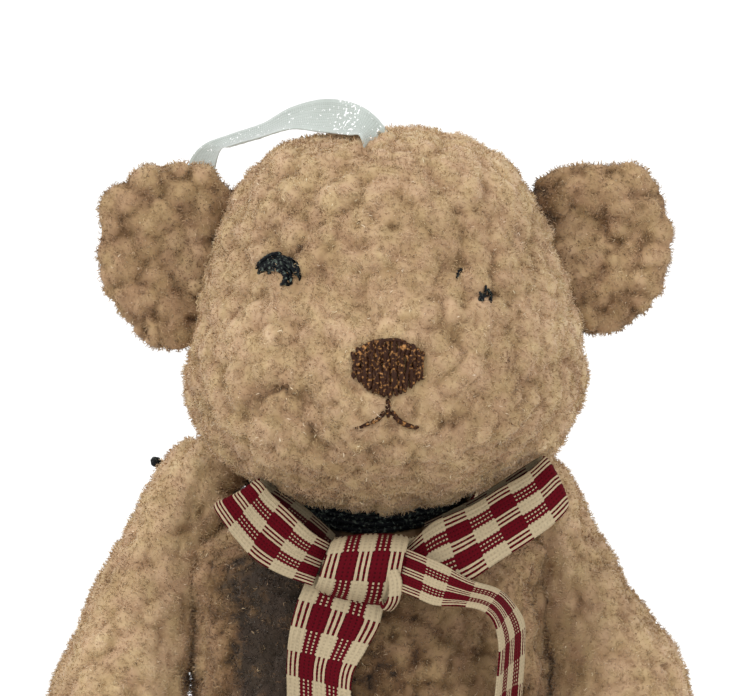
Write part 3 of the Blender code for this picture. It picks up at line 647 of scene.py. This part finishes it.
# Head
# A stuffed ball of the same plush with a low muzzle, leaning a little to one side. It is drawn down over
# the neck, and the pile lies flat where the face is stitched.
HEAD = np.array((1.05, -6.9, 50.26))
HEAD_HALF_WIDTH = 15.6
HEAD_HALF_HEIGHT = 14.7
HEAD_FRONT = 12.2
HEAD_BACK = 11.8
HEAD_ROLL = np.array(Matrix.Rotation(math.radians(-2.2), 3, "Y"))
MUZZLE_REACH = 2.6
AROUND_HEAD = 330
HEAD_SECTIONS = (  # height, width and depth as shares of the head's own, and share of the muzzle
    (0.985, 0.24, 0.28, 0.0),
    (0.88, 0.58, 0.62, 0.0),
    (0.58, 0.78, 0.86, 0.0),
    (0.18, 0.89, 0.98, 0.25),
    (-0.20, 0.99, 1.00, 1.0),
    (-0.50, 0.99, 0.96, 1.0),
    (-0.74, 0.80, 0.79, 0.55),
    (-0.91, 0.50, 0.54, 0.15),
    (-0.985, 0.20, 0.22, 0.0),
)
rings = []
for height, width, depth, muzzle in HEAD_SECTIONS:
    center = (0, 0, height * HEAD_HALF_HEIGHT)
    front, back = (0, -depth * HEAD_FRONT, 0), (0, depth * HEAD_BACK, 0)
    ring = oval(center, (width * HEAD_HALF_WIDTH, 0, 0), front, back, AROUND_HEAD)
    forward = np.maximum(np.cos(np.linspace(0, math.tau, AROUND_HEAD, endpoint=False)), 0)
    ring[:, 1] -= muzzle * MUZZLE_REACH * forward**3
    rings.append(HEAD + ring @ HEAD_ROLL.T)

EYE_RIGHT = ((-8.5, 53.8), (-8.1, 54.6), (-7.4, 55.1), (-6.6, 55.2), (-5.8, 54.6), (-5.5, 53.3))
EYE_LEFT = ((6.4, 53.8), (6.8, 54.3), (7.4, 54.2), (7.9, 53.6), (8.4, 52.9), (8.6, 52.0))
NOSE_MIDDLE = (1.36, 47.7)
NOSE_HALF_WIDTH = 2.6
NOSE_UP = 1.5
NOSE_DOWN = 2.2
NOSE_TOP = ((-1.1, 48.5), (-0.4, 49.1), (0.4, 49.5), (1.3, 49.6), (2.1, 49.6), (2.9, 49.2), (3.6, 48.6))
LIPS = (
    ((1.33, 45.3), (1.33, 44.6), (1.35, 43.9)),
    ((1.1, 44.4), (0.6, 43.85), (-0.2, 43.45), (-1.1, 43.15)),
    ((1.6, 44.4), (2.1, 43.7), (2.8, 43.3), (3.6, 43.15)),
)


def bare_face(places):
    """1 under the nose's stitches and 0 in the pile."""
    x, z = places[:, 0] - NOSE_MIDDLE[0], places[:, 2] - NOSE_MIDDLE[1]
    away = np.hypot(x / NOSE_HALF_WIDTH, z / np.where(z > 0, NOSE_UP, NOSE_DOWN))
    bare = np.interp(away, (0.95, 1.15), (1, 0)) * (places[:, 1] < -12)
    for line, reach in ((EYE_RIGHT, 0.35), *((lip, 0.12) for lip in LIPS)):
        path, _ = through(line, 0.2)
        gap = np.linalg.norm(places[:, None, ::2] - path[None], axis=2).min(axis=1)
        bare = np.maximum(bare, np.interp(gap, (reach, reach + 0.25), (0.9, 0)) * (places[:, 1] < -12))
    return bare


def bare_head(places):
    """Bare where the face is stitched, and where the head is drawn down over the neck."""
    q = in_neck_frame(places)
    under = (np.hypot(q[:, 0], q[:, 1]) < 6.5) & (q[:, 2] < 6)
    return np.maximum(bare_face(places), under)


def drawn_over_neck(places):
    """Lifts what would lie in the wound thread."""
    q = in_neck_frame(places)
    away = np.hypot(q[:, 0], q[:, 1])
    least = np.interp(away, (6.3, 7.4, 10.3), (1.5, 2.1, -9.0))
    q[:, 2] = np.maximum(q[:, 2], least)
    return from_neck_frame(q)


def painted_head_light_and_shade(places):
    """Painted shade makes the forehead a little darker, and painted light makes the pile paler towards the
    sides and the crown.
    """
    x, _, z = (places - HEAD).T
    from_middle = np.hypot(x / HEAD_HALF_WIDTH, z / HEAD_HALF_HEIGHT)
    forehead = np.interp(z, (0, 5), (0, 1)) * np.interp(from_middle, (0.5, 0.8), (1, 0))
    rim = np.interp(from_middle, (0.65, 0.95), (0, 1)) * np.interp(z, (-11, -6), (0, 1))
    return 0.05 * forehead - np.where(x > 0, 0.12, 0.07) * rim


head_cloth = plush_piece(
    "head",
    lofted(rings),
    "torso",
    "head_cover",
    seed=23,
    density=30,
    bare=bare_head,
    # painted light and shade on the head's pile
    dim=painted_head_light_and_shade,
    settle=drawn_over_neck,
)

# Ears
# Half-round ears of two layers of plush, sewn to the sides of the head in a curve that cups them
# forwards. Their pile is darker all over, with painted shade in the cup and beside the head.
EAR_WIDTH = 11.8
EAR_HEIGHT = 14.6
EAR_THICKNESS = 4.6
EAR_CUP = 1.9
AROUND_EAR = 120
EAR_SECTIONS = ((1.0, 0.34), (0.80, 0.80), (0.26, 1.02), (-0.46, 0.93), (-1.0, 0.34))  # height and width
for side, side_name, lower, broader in ((1, "left", 0.9, 0.6), (-1, "right", 0.1, 0.0)):
    middle = np.array((side * (HEAD_HALF_WIDTH + 0.3 + broader / 2), 1.2, 0.35 * HEAD_HALF_HEIGHT))
    rings = []
    for height, width in EAR_SECTIONS:
        center = middle + (0, 0, height * EAR_HEIGHT / 2 - lower * max(height, 0))
        depth = np.array((0, -EAR_THICKNESS / 2 * max(width, 0.75), 0))
        reach = width * (EAR_WIDTH + broader) / 2
        rings.append(oval(center, (reach, 0, 0), depth, -depth, AROUND_EAR))
    form = lofted(rings)
    inwards = form - middle
    hollow = np.hypot((inwards[..., 0] + side * 1.0) / 3.6, inwards[..., 2] / 4.6)
    form[..., 1] += EAR_CUP * np.exp(-hollow**2) * np.clip((0.3 - inwards[..., 1]) / 1.5, 0, 1)
    form = HEAD + form @ HEAD_ROLL.T
    center = HEAD + middle @ HEAD_ROLL.T

    def painted_ear_shade(places):
        """Darker all over, and darker still with painted shade in the cup and beside the head."""
        x, y, z = (places - center).T
        cup = np.exp(-(((x + side * 1.6) / 2.6) ** 2) - (z / 4.2) ** 2) * (y < 0)
        return 0.12 + 0.2 * cup + 0.22 * np.interp(side * x, (-4.5, -2.5), (1, 0)) * (y < 1)

    name = f"ear_{side_name}"
    plush_piece(name, form, "torso", name, seed=37 + side, dim=painted_ear_shade, nap=1.1)

# Eyes, nose and mouth
# Each eye is an arch of dark thread, and the nose is two rows of brown satin stitches with one laid over
# its top. The mouth is three single stitches. The pile comes up round them all.
def surface_of(cloth):
    return BVHTree.FromPolygons(cloth.reshape(-1, 3).tolist(), tube_faces(*cloth.shape[:2]).tolist())


face = surface_of(head_cloth)


def on_face(x, z):
    """Where the face is first met at this place, coming from in front."""
    return np.array(face.ray_cast(Vector((x, -60, z)), Vector((0, 1, 0)))[0])


def spun(points, radius, plies=3, pitch=1.2, sides=12, step=0.12, ends=0.5):
    """A thread of plies twisted together along the points, as a tube."""
    line, run = through(points, step)
    ahead = unit(np.gradient(line, axis=0))
    across = unit(np.cross(ahead[0], (0.31, 0.52, 0.79)))
    frames = []
    for way in ahead:
        across = unit(across - way * np.dot(across, way))
        frames.append((across, np.cross(way, across)))
    first, second = (np.array(part)[:, None] for part in zip(*frames))
    angle = np.linspace(0, math.tau, sides, endpoint=False)[None]
    groove = np.abs(np.sin((angle - math.tau * run[:, None] / pitch) * plies / 2))
    size = radius * (0.78 + 0.3 * groove)
    taper = np.minimum(1, ends + np.minimum(run, run[-1] - run) / (2 * radius))
    size = (size * taper[:, None])[..., None]
    return line[:, None] + size * (first * np.cos(angle)[..., None] + second * np.sin(angle)[..., None])


def thread_finish(name, dark, light, roughness):
    """Spun thread, dark with light specks painted on as the glints of its fibres."""
    made, tree, shader = principled(name, {"Roughness": roughness, "Specular IOR Level": 0.12})
    dark_with_painted_glints = between(noise(tree, 4200.0, 3.0), dark, light, 0.54, 0.75)
    fine = node(tree, "Bump", {"Height": noise(tree, 12000.0), "Distance": 0.00004})
    feed(shader, {"Base Color": dark_with_painted_glints, "Normal": fine})
    return made


# The light colour of each thread is painted glint: greenish grey on the dark thread, golden on the brown.
dark_thread = thread_finish("dark_green_thread", (0.003, 0.004, 0.006), (0.17, 0.21, 0.17), 0.45)
brown_thread = thread_finish("brown_silk_thread", (0.036, 0.013, 0.006), (0.56, 0.27, 0.09), 0.4)
EYE_THREAD = 0.13  # radius, as in the next three
NOSE_THREAD = (0.14, 0.22)
NOSE_TOP_THREAD = 0.15
LIP_THREAD = 0.19


def arched_eye(line, seed, runs, proud):
    """Short ragged stitches that follow the arch, crowded where it is broad. Each run of stitches lies
    between two shares of the arch, and goes into the cloth at both ends of each stitch."""
    rng = np.random.default_rng(seed)
    arch, run = through(line, 0.1)
    foot = np.array(((line[0][0] + line[-1][0]) / 2, min(line[0][1], line[-1][1])))
    tubes = []
    for first, last, count in runs:
        for _ in range(count):
            length = (last - first) * rng.uniform(0.18, 0.5)
            start = rng.uniform(first, last - length)
            shift, drift = rng.uniform(-0.7, 0.45), rng.uniform(-0.5, 0.5)
            top = proud * rng.uniform(0.1, 0.5)
            points = []
            for t in np.linspace(0, 1, 5):
                along = start + length * t
                spot = arch[round(along * (len(arch) - 1))]
                breadth = np.interp(along, (0, 0.25, 0.6, 1), (0.3, 0.9, 1.2, 1.2))
                aside = (shift + drift * (t - 0.5)) * breadth
                place = on_face(*(spot + unit(spot - foot) * aside))
                points.append(place + (0, -top * math.sin(math.pi * t) ** 0.6 + 0.3 * abs(2 * t - 1) ** 6, 0))
            tubes.append(spun(points, EYE_THREAD * rng.uniform(0.5, 1.1), plies=2, pitch=0.8))
    return tubes


for name, line, seed, runs, proud in (
    ("eye_right", EYE_RIGHT, 3, ((0, 1, 44), (0.45, 1, 20)), 1.0),
    ("eye_left", EYE_LEFT, 4, ((0, 0.2, 3), (0.6, 1, 8)), 0.45),
):
    eye = make_solid(f"{name}_stitches", arched_eye(line, seed, runs, proud), dark_thread)
    belongs(eye, "torso", "dark_thread", name)

NOSE_COLUMNS = 19
rng = np.random.default_rng(8)
tubes = []
for i in range(NOSE_COLUMNS):
    share = -0.95 + 1.9 * i / (NOSE_COLUMNS - 1)
    x = NOSE_MIDDLE[0] + share * NOSE_HALF_WIDTH
    spread = math.sqrt(1 - share**2)
    top = NOSE_MIDDLE[1] + NOSE_UP * (0.45 + 0.82 * spread) + rng.uniform(-0.12, 0.15)
    bottom = NOSE_MIDDLE[1] - NOSE_DOWN * (1.05 - 0.62 * abs(share) ** 1.2) + rng.uniform(-0.12, 0.12)
    split = NOSE_MIDDLE[1] + 0.15 + rng.uniform(-0.35, 0.35)
    for start, end, lift in ((top, split - 0.25, 0.42), (split + 0.1, bottom, 0.34)):
        points = []
        skew = rng.uniform(-0.12, 0.12)
        for k, z in enumerate(np.linspace(start, end, 5)):
            place = on_face(x + skew * (k - 2) / 2, z)
            rise = lift * math.sin(math.pi * (0.12 + 0.76 * k / 4)) + 0.15 * spread
            points.append(place + (0.06 * rng.normal(), -rise + 0.05 * rng.normal(), 0))
        tubes.append(spun(points, rng.uniform(*NOSE_THREAD), plies=2, pitch=1.1))
points = [on_face(x, z) + (0, -0.3, 0) for x, z in NOSE_TOP]
tubes.append(spun(points, NOSE_TOP_THREAD, plies=2, pitch=1.1))
nose = make_solid("nose_satin_stitches", tubes, brown_thread)
belongs(nose, "torso", "brown_thread", "nose")

for line, name in zip(LIPS, ("mouth_middle_stitch", "mouth_right_stitch", "mouth_left_stitch")):
    points = [on_face(x, z) + (0, -0.12, 0) for x, z in line]
    tube = spun(points, LIP_THREAD, plies=2, pitch=0.9, ends=0.45)
    stitch = make_solid(f"{name}_thread", [tube], brown_thread)
    belongs(stitch, "torso", "brown_thread", name)

# Arms
# Stuffed plush arms, thin at the shoulder and full at the paw, held to the body's sides by the thread
# that goes through both shoulders. Each turns on it.
ARM_LENGTH = 30.0
ARM_HALF = 5.8
ARM_FORWARD = math.radians(15)
SHOULDER = np.array((9.23, 2.5, 37.0))
SHOULDER_TILT = math.radians(13.42)
ABOVE_SHOULDER = 0.105
CLEARANCE = 0.3
AROUND_ARM = 126
LEFT_SHOULDER_SHARE = 0.84  # the left arm is thinner above its middle
ARM_SECTIONS = (  # place along the arm, thickness, depth, and distance from the body
    (0.0, 0.28, 0.32, 0.04),
    (0.035, 0.54, 0.56, -0.08),
    (0.13, 0.68, 0.70, -0.08),
    (0.33, 0.63, 0.71, 0.18),
    (0.58, 0.82, 0.88, 0.14),
    (0.76, 1.0, 1.0, 0.02),
    (0.92, 0.80, 0.80, 0.14),
    (0.99, 0.36, 0.36, 0.46),
)
limbs = {}
for side, name in ((1, "arm_left"), (-1, "arm_right")):
    turned = np.array(Euler((-ARM_FORWARD, -side * SHOULDER_TILT, 0)).to_matrix())
    rings = []
    for along, thick, deep, off in ARM_SECTIONS:
        if side > 0 and along < 0.5:
            thick *= LEFT_SHOULDER_SHARE
        x = side * ((thick + off) * ARM_HALF + CLEARANCE)
        center = (x, 0, (ABOVE_SHOULDER - along) * ARM_LENGTH)
        depth = np.array((0, -deep * ARM_HALF, 0))
        rings.append(oval(center, (side * thick * ARM_HALF, 0, 0), depth, -depth, AROUND_ARM))
    form = SHOULDER * (side, 1, 1) + lofted(rings) @ turned.T

    def paler_arm_with_painted_shade(places):
        """A little paler than the body, and darkened with painted shade along the side that faces it."""
        from_body = ((places - SHOULDER * (side, 1, 1)) @ turned)[:, 0] * side - CLEARANCE
        return 0.36 * np.interp(from_body, (0.4, 2.0), (1, 0)) - 0.05

    limbs[name] = plush_piece(name, form, name, f"{name}_cover", seed=53 + side, dim=paler_arm_with_painted_shade, nap=0.75)

# Legs and soles
# Stuffed plush legs held straight out in front, each turning on the thread through the hips. The foot
# turns up, and a flat oval of short-napped cloth is sewn on as its sole.
LEG_LENGTH = 37.5
LEG_HALF = 5.6
FOOT_HEIGHT = 15.0
HIP = np.array((9.295, 1.0, 6.3))
LEG_SPLAY = math.radians(8)
SOLE_AT = 0.82 * LEG_LENGTH + CLEARANCE
SOLE_THICKNESS = 1.1
SOLE_STITCHES = 22
AROUND_LEG = 132
LEG_SECTIONS = (  # place along the leg, thickness, bottom and top
    (-0.165, 0.34, 0.24, 0.58),
    (-0.115, 0.72, 0.08, 0.74),
    (0.0, 0.98, -0.04, 0.84),
    (0.17, 1.0, -0.04, 0.80),
    (0.40, 0.90, 0.0, 0.70),
    (0.62, 0.92, -0.04, 0.84),
    (0.76, 0.96, -0.03, 0.99),
    (0.82, 0.92, 0.03, 0.95),
)
SOLE_SECTIONS = (
    (SOLE_AT - SOLE_THICKNESS, 0.80, 0.09, 0.89),
    (SOLE_AT - 0.3 * SOLE_THICKNESS, 0.90, 0.05, 0.94),
    (SOLE_AT + 0.5 * SOLE_THICKNESS, 0.88, 0.06, 0.93),
    (SOLE_AT + 0.9 * SOLE_THICKNESS, 0.70, 0.14, 0.85),
)
sole_cloth, tree, shader = principled("napped_sole_cloth", {"Roughness": 0.95, "Sheen Weight": 0.4})
nap = noise(tree, 2200.0, 5.0, Roughness=0.7)
# The nap's own tone, with painted shade where the nap is low.
tan = between(nap, (0.26, 0.165, 0.09), (0.58, 0.42, 0.27))
feed(shader, {"Base Color": tan, "Normal": node(tree, "Bump", {"Height": nap, "Distance": 0.0002})})


def leg_oval(side, along, thick, bottom, top):
    """A section across a leg, from the point where its axis leaves the body."""
    center = (side * (LEG_HALF + CLEARANCE), -along, (top + bottom) / 2 * FOOT_HEIGHT - HIP[2])
    up = np.array((0, 0, (top - bottom) / 2 * FOOT_HEIGHT))
    return oval(center, (side * thick * LEG_HALF, 0, 0), up, -up, AROUND_LEG)


for side, name in ((1, "leg_left"), (-1, "leg_right")):
    turned = np.array(Matrix.Rotation(side * LEG_SPLAY, 3, "Z"))
    rings = [leg_oval(side, along * LEG_LENGTH, *section) for along, *section in LEG_SECTIONS]
    form = HIP * (side, 1, 1) + lofted(rings) @ turned.T
    limbs[name] = plush_piece(name, form, name, f"{name}_cover", seed=67 + side)
    rings = [leg_oval(side, *section) for section in SOLE_SECTIONS]
    form = HIP * (side, 1, 1) + lofted(rings, step=0.22) @ turned.T
    from_axis = np.linalg.norm(form - form.mean(axis=1, keepdims=True), axis=-1)
    share = from_axis / from_axis.max(axis=0)
    round_edge = np.cos(np.linspace(0, math.tau * SOLE_STITCHES, AROUND_LEG, endpoint=False))
    sewn = np.interp(share, (0.70, 0.82, 0.90, 1.0), (0, 1, 0.8, 0)) * (0.16 * round_edge - 0.14)
    flat = form.reshape(-1, 3)
    nap_rise = 0.07 * lumps(flat, 0.5, 71) + 0.05 * lumps(flat, 0.9, 73) + 0.16 * lumps(flat, 2.4, 72)
    felt = flat + outward(form).reshape(-1, 3) * (nap_rise + sewn.ravel())[:, None]
    felt[:, 2] = np.maximum(felt[:, 2], 0.3)
    sole = make_solid(f"{name}_sole_cloth", [felt.reshape(form.shape)], sole_cloth)
    belongs(sole, name, "sole_cloth", f"{name}_sole")

# Joint threads
# Strong dark thread drawn through the body and both limbs, and knotted on the outside of each limb. Its
# knots hold the limbs in place and show as small dark dots in the pile.
KNOT = 0.62
KNOT_TURNS = 3
KNOT_THREAD = 0.2
JOINT_THREAD = 0.24


def knotted(ends, middle):
    """A thread from one knot through the body to the other."""
    line = [ends[0], (ends[0] + middle) / 2, middle, (ends[1] + middle) / 2, ends[1]]
    tubes = [spun(line, JOINT_THREAD, sides=10)]
    for end in ends:
        for turn in range(KNOT_TURNS):
            angle = np.linspace(0, math.tau, 9)[:, None] + turn
            tilt = unit(np.array((math.cos(turn), math.sin(2 * turn), 0.6)))
            first = unit(np.cross(tilt, (0.2, 0.9, 0.4)))
            second = np.cross(tilt, first)
            loop = end + 0.36 * KNOT * (first * np.cos(angle) + second * np.sin(angle))
            tubes.append(spun(loop, KNOT_THREAD, plies=2, pitch=0.8, step=0.1, ends=1))
    return tubes


joints = (
    ("shoulder_thread", "arm", SHOULDER, np.array((math.cos(SHOULDER_TILT), 0, math.sin(SHOULDER_TILT)))),
    ("hip_thread", "leg", HIP, np.array((math.cos(LEG_SPLAY), math.sin(LEG_SPLAY), 0))),
)
for name, limb, exit_point, way in joints:
    middle = exit_point - way * exit_point[0] / way[0]
    ends = []
    for side, side_name in ((1, "left"), (-1, "right")):
        out = way * (side, 1, 1)
        surface = surface_of(limbs[f"{limb}_{side_name}"])
        place, _, _, _ = surface.ray_cast(Vector(middle + 60 * out), Vector(-out))
        ends.append(np.array(place) + (0.5 if side < 0 else -0.2) * out)
    thread = make_solid(f"{name}_and_knots", knotted(ends, middle), dark_thread)
    belongs(thread, "torso", "dark_thread", name)

# Thread round the neck
# The head is closed by many turns of dark, slightly fuzzy thread pulled tight round the neck, under the
# chin and above the ribbon.
BINDING = 0.3
WINDINGS = 7
COIL_RADIUS = 6.75
LOOSE_HAIRS = 420
HAIR = 0.035
rng = np.random.default_rng(91)
angle = np.linspace(0, WINDINGS * math.tau, WINDINGS * 40)
share = np.linspace(-1, 1, angle.size)
wander = np.interp(angle, np.linspace(0, angle[-1], 40), rng.uniform(-0.25, 0.25, 40))
ring = COIL_RADIUS + 0.35 * np.interp(angle, np.linspace(0, angle[-1], 30), rng.uniform(0, 1, 30))
coil = np.stack([ring * np.sin(angle), ring * np.cos(angle), 1.75 * share - 0.25 + wander], axis=-1)
tubes = [spun(from_neck_frame(coil), BINDING, plies=3, pitch=1.6, step=0.2)]
for _ in range(LOOSE_HAIRS):
    around, up = rng.uniform(0, math.tau), rng.uniform(-1.6, 1.6)
    out = np.array((math.sin(around), math.cos(around), 0))
    start = 7.1 * out + (0, 0, up)
    way = unit(out + 0.9 * rng.normal(size=3))
    hair = start + way * np.array((0, 0.3, 0.6))[:, None] + 0.1 * rng.normal(size=(3, 3))
    tubes.append(spun(from_neck_frame(hair), HAIR, plies=1, sides=4, step=0.25))
binding = make_solid("neck_thread_windings", tubes, dark_thread)
belongs(binding, "torso", "dark_thread", "neck_binding")

# Ribbon round the neck and its bow
# Woven checked ribbon 6 mm wide, three warp threads to each of its five stripes. It is folded in half
# round the neck and tied in front in a bow with two loops and two tails.
RIBBON_WIDTH = 6.1
RIBBON_THICKNESS = 0.3
STRIPE = RIBBON_WIDTH / 5
WARP = STRIPE / 3
CHECK = 1.95
WEFT = CHECK / 7
RIBBON_STEP = 0.08

gingham, tree, shader = principled("checked_cotton_ribbon", {"Roughness": 0.8, "Specular IOR Level": 0.1})
across, along = on_cloth(tree)


def count_of(part, pitch):
    return maths("FLOOR", maths("DIVIDE", part, pitch))


def from_middle(part, pitch):
    """How far a place is from the middle of its thread, up to 0.5 at its edges."""
    within = maths("FRACT", maths("DIVIDE", part, pitch))
    return maths("ABSOLUTE", maths("SUBTRACT", within, 0.5))


warp_red = maths("MODULO", count_of(across, STRIPE), 2.0)
weft_red = maths("MODULO", maths("ADD", count_of(along, CHECK), 1000.0), 2.0)
uneven = noise(tree, 2500.0)
wobble = maths("MULTIPLY_ADD", uneven, 0.16, -0.08)
from_warp = maths("ADD", from_middle(across, WARP), wobble)
in_gap = maths("GREATER_THAN", from_warp, maths("MULTIPLY_ADD", warp_red, 0.07, 0.26))
on_weft = maths("LESS_THAN", from_middle(along, WEFT), 0.28)
either_red = maths("MAXIMUM", warp_red, weft_red)
weft_shows = maths("MAXIMUM", on_weft, weft_red)
gap_red = node(tree, "Mix", {"Factor": weft_shows, "A": either_red, "B": weft_red})
red = node(tree, "Mix", {"Factor": in_gap, "A": warp_red, "B": gap_red})
# Painted shade darkens the gaps between warp threads where no weft crosses; the fibres' own streaks and this
# painted shade darken the colour below.
painted_gap_shade = maths("MULTIPLY", in_gap, maths("SUBTRACT", 1.0, on_weft))
painted_gap_shade = maths("MULTIPLY", painted_gap_shade, maths("MULTIPLY_ADD", either_red, 0.7, 0.3))
streaks = node(tree, "Mapping", {"Vector": node(tree, "UVMap", {}, uv_map="weave"), "Scale": (9.0, 1.2, 1.0)})
fibres = node(tree, "TexNoise", {"Vector": streaks, "Scale": 1.0, "Detail": 4.0})
streaks_and_painted_shade = maths("MULTIPLY_ADD", fibres, 0.5, 0.68)
streaks_and_painted_shade = maths("MULTIPLY", streaks_and_painted_shade, maths("MULTIPLY_ADD", painted_gap_shade, -0.55, 1.0))
cream = (0.50, 0.405, 0.26, 1)
crimson = (0.105, 0.0008, 0.006, 1)
mixed = node(tree, "Mix", {"Factor": red, "A": cream, "B": crimson}, data_type="RGBA").node.outputs["Result"]
# Painted shade on the back layers of the loops
painted_back_shade = node(tree, "Attribute", {}, attribute_name="painted_back_shade").node.outputs["Fac"]
streaks_and_painted_shade = maths("MULTIPLY", streaks_and_painted_shade, maths("MULTIPLY_ADD", painted_back_shade, -0.7, 1.0))
shaded = node(tree, "Mix", {"Factor": 1.0, "A": mixed, "B": streaks_and_painted_shade}, data_type="RGBA", blend_type="MULTIPLY")
threads = node(tree, "Bump", {"Height": fibres, "Distance": 0.00008})
feed(shader, {"Base Color": shaded.node.outputs["Result"], "Normal": threads})


def thread_relief(across, along):
    """The warp threads' rounded backs, dipping where each weft thread crosses."""
    warp = np.sqrt(np.clip(1 - (2 * np.abs(across / WARP % 1 - 0.5)) ** 2, 0, 1))
    return 0.05 * warp + 0.012 * np.cos(along * math.tau / WEFT + math.pi * np.floor(across / WARP))


def bow_piece(name, cad_node, edges, bulge, start=0.0, turned_at=math.inf):
    """A length of the ribbon between its two edges, with its checks starting where they should. Past the
    place in mm where it is turned back, its back layer is painted darker, as shade."""
    tube, weave = strip(edges, RIBBON_STEP, RIBBON_WIDTH, RIBBON_THICKNESS, bulge, thread_relief)
    painted_back_shade = np.clip(weave[:, 1] - turned_at, 0, 1)
    weave[:, 1] += start
    piece = make_solid(name, [tube], gingham, weave, values={"painted_back_shade": painted_back_shade})
    belongs(piece, "torso", "checked_ribbon", cad_node)


COLLAR = np.array((0.3, -1.0, 36.9))
COLLAR_LEAN = math.radians(30)
COLLAR_HALF_WIDTH = 8
COLLAR_HALF_DEPTH = 9
COLLAR_HALF_HEIGHT = 1.5
turn = np.radians(np.linspace(-165, 165, 45))
x, y = COLLAR_HALF_WIDTH * np.sin(turn), COLLAR_HALF_DEPTH * np.cos(turn)
edges = [np.stack([x, y, 0 * turn + side * COLLAR_HALF_HEIGHT], axis=-1) for side in (-1, 1)]
edges = from_neck_frame(np.stack(edges, axis=1), COLLAR, COLLAR_LEAN)
bow_piece("ribbon_round_neck", "neck_ribbon", edges, 0.15)

RIGHT_LOOP = (
    ((-4.3, -13.6, 30.8), (-3.0, -11.9, 33.8)),
    ((-6.6, -14.3, 31.7), (-4.5, -12.4, 34.8)),
    ((-8.5, -14.6, 32.8), (-6.2, -12.7, 36.5)),
    ((-9.8, -14.8, 34.2), (-7.3, -12.9, 37.5)),
    ((-11.0, -14.9, 35.8), (-8.0, -13.1, 38.4)),
    ((-11.6, -14.4, 36.8), (-8.3, -12.6, 38.6)),
    ((-11.0, -13.6, 36.8), (-7.9, -11.9, 38.6)),
    ((-9.7, -13.0, 35.9), (-6.7, -11.3, 37.8)),
    ((-7.8, -12.4, 34.5), (-5.2, -10.9, 36.7)),
    ((-5.6, -11.6, 32.8), (-3.6, -10.4, 35.3)),
    ((-4.1, -11.0, 31.9), (-2.6, -10.2, 34.3)),
)
LEFT_LOOP = (
    ((4.1, -13.2, 30.3), (2.8, -11.6, 33.6)),
    ((6.0, -13.8, 30.6), (4.6, -12.0, 35.3)),
    ((7.7, -14.3, 31.4), (6.0, -12.3, 36.0)),
    ((9.7, -14.6, 32.8), (7.8, -12.5, 36.8)),
    ((11.7, -14.7, 34.1), (9.7, -12.6, 38.0)),
    ((13.4, -14.7, 35.3), (11.5, -12.7, 39.0)),
    ((14.7, -14.2, 36.6), (12.8, -12.2, 40.1)),
    ((14.2, -13.3, 36.8), (12.8, -11.6, 40.3)),
    ((12.7, -12.7, 36.0), (11.5, -11.2, 39.5)),
    ((10.5, -12.0, 34.7), (9.7, -10.9, 38.3)),
    ((7.5, -11.4, 33.4), (7.5, -10.6, 36.9)),
    ((4.1, -10.9, 32.5), (4.1, -10.2, 35.2)),
)
RIGHT_TAIL = (
    ((-4.5, -12.7, 31.8), (1.1, -12.7, 29.5)),
    ((-5.1, -12.8, 30.3), (0.9, -12.8, 28.6)),
    ((-5.5, -12.7, 29.3), (0.6, -12.8, 27.5)),
    ((-6.0, -12.4, 27.2), (-0.3, -13.1, 25.9)),
    ((-6.2, -11.7, 25.1), (-1.3, -14.0, 24.1)),
    ((-6.2, -11.2, 22.6), (-1.4, -14.3, 21.7)),
    ((-6.1, -11.0, 18.9), (-1.3, -14.3, 17.9)),
    ((-5.8, -11.1, 14.2), (-0.9, -14.0, 13.4)),
)
LEFT_TAIL = (
    ((1.9, -14.6, 30.6), (2.4, -13.4, 33.7)),
    ((3.4, -15.6, 30.1), (4.0, -14.2, 33.1)),
    ((4.8, -16.2, 29.6), (5.6, -14.7, 32.4)),
    ((6.8, -16.9, 29.6), (7.5, -14.6, 31.3)),
    ((8.3, -17.0, 29.3), (9.4, -13.6, 30.6)),
    ((9.2, -16.7, 28.4), (10.5, -12.4, 29.6)),
    ((9.6, -16.3, 26.6), (11.5, -11.0, 27.9)),
    ((9.5, -16.0, 24.6), (11.6, -10.4, 25.9)),
    ((9.3, -15.7, 22.2), (11.4, -10.1, 22.6)),
    ((9.0, -15.4, 18.0), (11.0, -9.8, 18.0)),
    ((8.8, -15.3, 13.3), (10.7, -9.6, 13.3)),
)
KNOT_BAND = (
    ((-2.6, -9.3, 33.6), (2.8, -9.3, 33.7)),
    ((-2.7, -11.0, 33.9), (2.9, -11.0, 34.1)),
    ((-2.9, -12.8, 33.9), (2.9, -12.8, 34.1)),
    ((-3.2, -13.9, 33.2), (2.7, -13.9, 33.4)),
    ((-3.6, -14.3, 32.1), (2.4, -14.3, 32.0)),
    ((-3.9, -13.9, 31.1), (2.2, -13.9, 30.4)),
    ((-4.1, -12.9, 30.6), (2.0, -12.9, 29.4)),
    ((-4.0, -11.5, 30.3), (1.9, -11.5, 29.1)),
    ((-3.6, -9.6, 30.6), (1.7, -9.6, 29.6)),
)
KNOT_FOLD = (
    ((1.2, -14.2, 31.9), (2.1, -14.5, 32.1)),
    ((1.4, -14.7, 30.9), (2.4, -14.8, 31.2)),
    ((1.3, -14.8, 29.9), (2.3, -14.7, 30.0)),
    ((0.9, -14.3, 29.3), (1.7, -14.0, 29.1)),
    ((0.7, -13.6, 29.9), (1.4, -13.2, 29.5)),
)
bow_piece("bow_right_loop", "bow_loop_right", RIGHT_LOOP, 0.2, start=-1.4, turned_at=9.5)
bow_piece("bow_left_loop", "bow_loop_left", LEFT_LOOP, 0.2, start=-1.4, turned_at=13.0)
bow_piece("bow_right_tail", "bow_tail_right", RIGHT_TAIL, -0.2)
bow_piece("bow_left_tail", "bow_tail_left", LEFT_TAIL, -0.2, start=1.7)
bow_piece("bow_knot_band", "bow_knot", KNOT_BAND, 0.25, start=-3.1)

tube, weave = strip(KNOT_FOLD, RIBBON_STEP, STRIPE, thickness=0.25, bulge=0.1, relief=thread_relief)
fold = make_solid("curled_edge_of_knot", [tube], gingham, weave, values={"painted_back_shade": 0 * weave[:, 0]})
belongs(fold, "torso", "checked_ribbon")
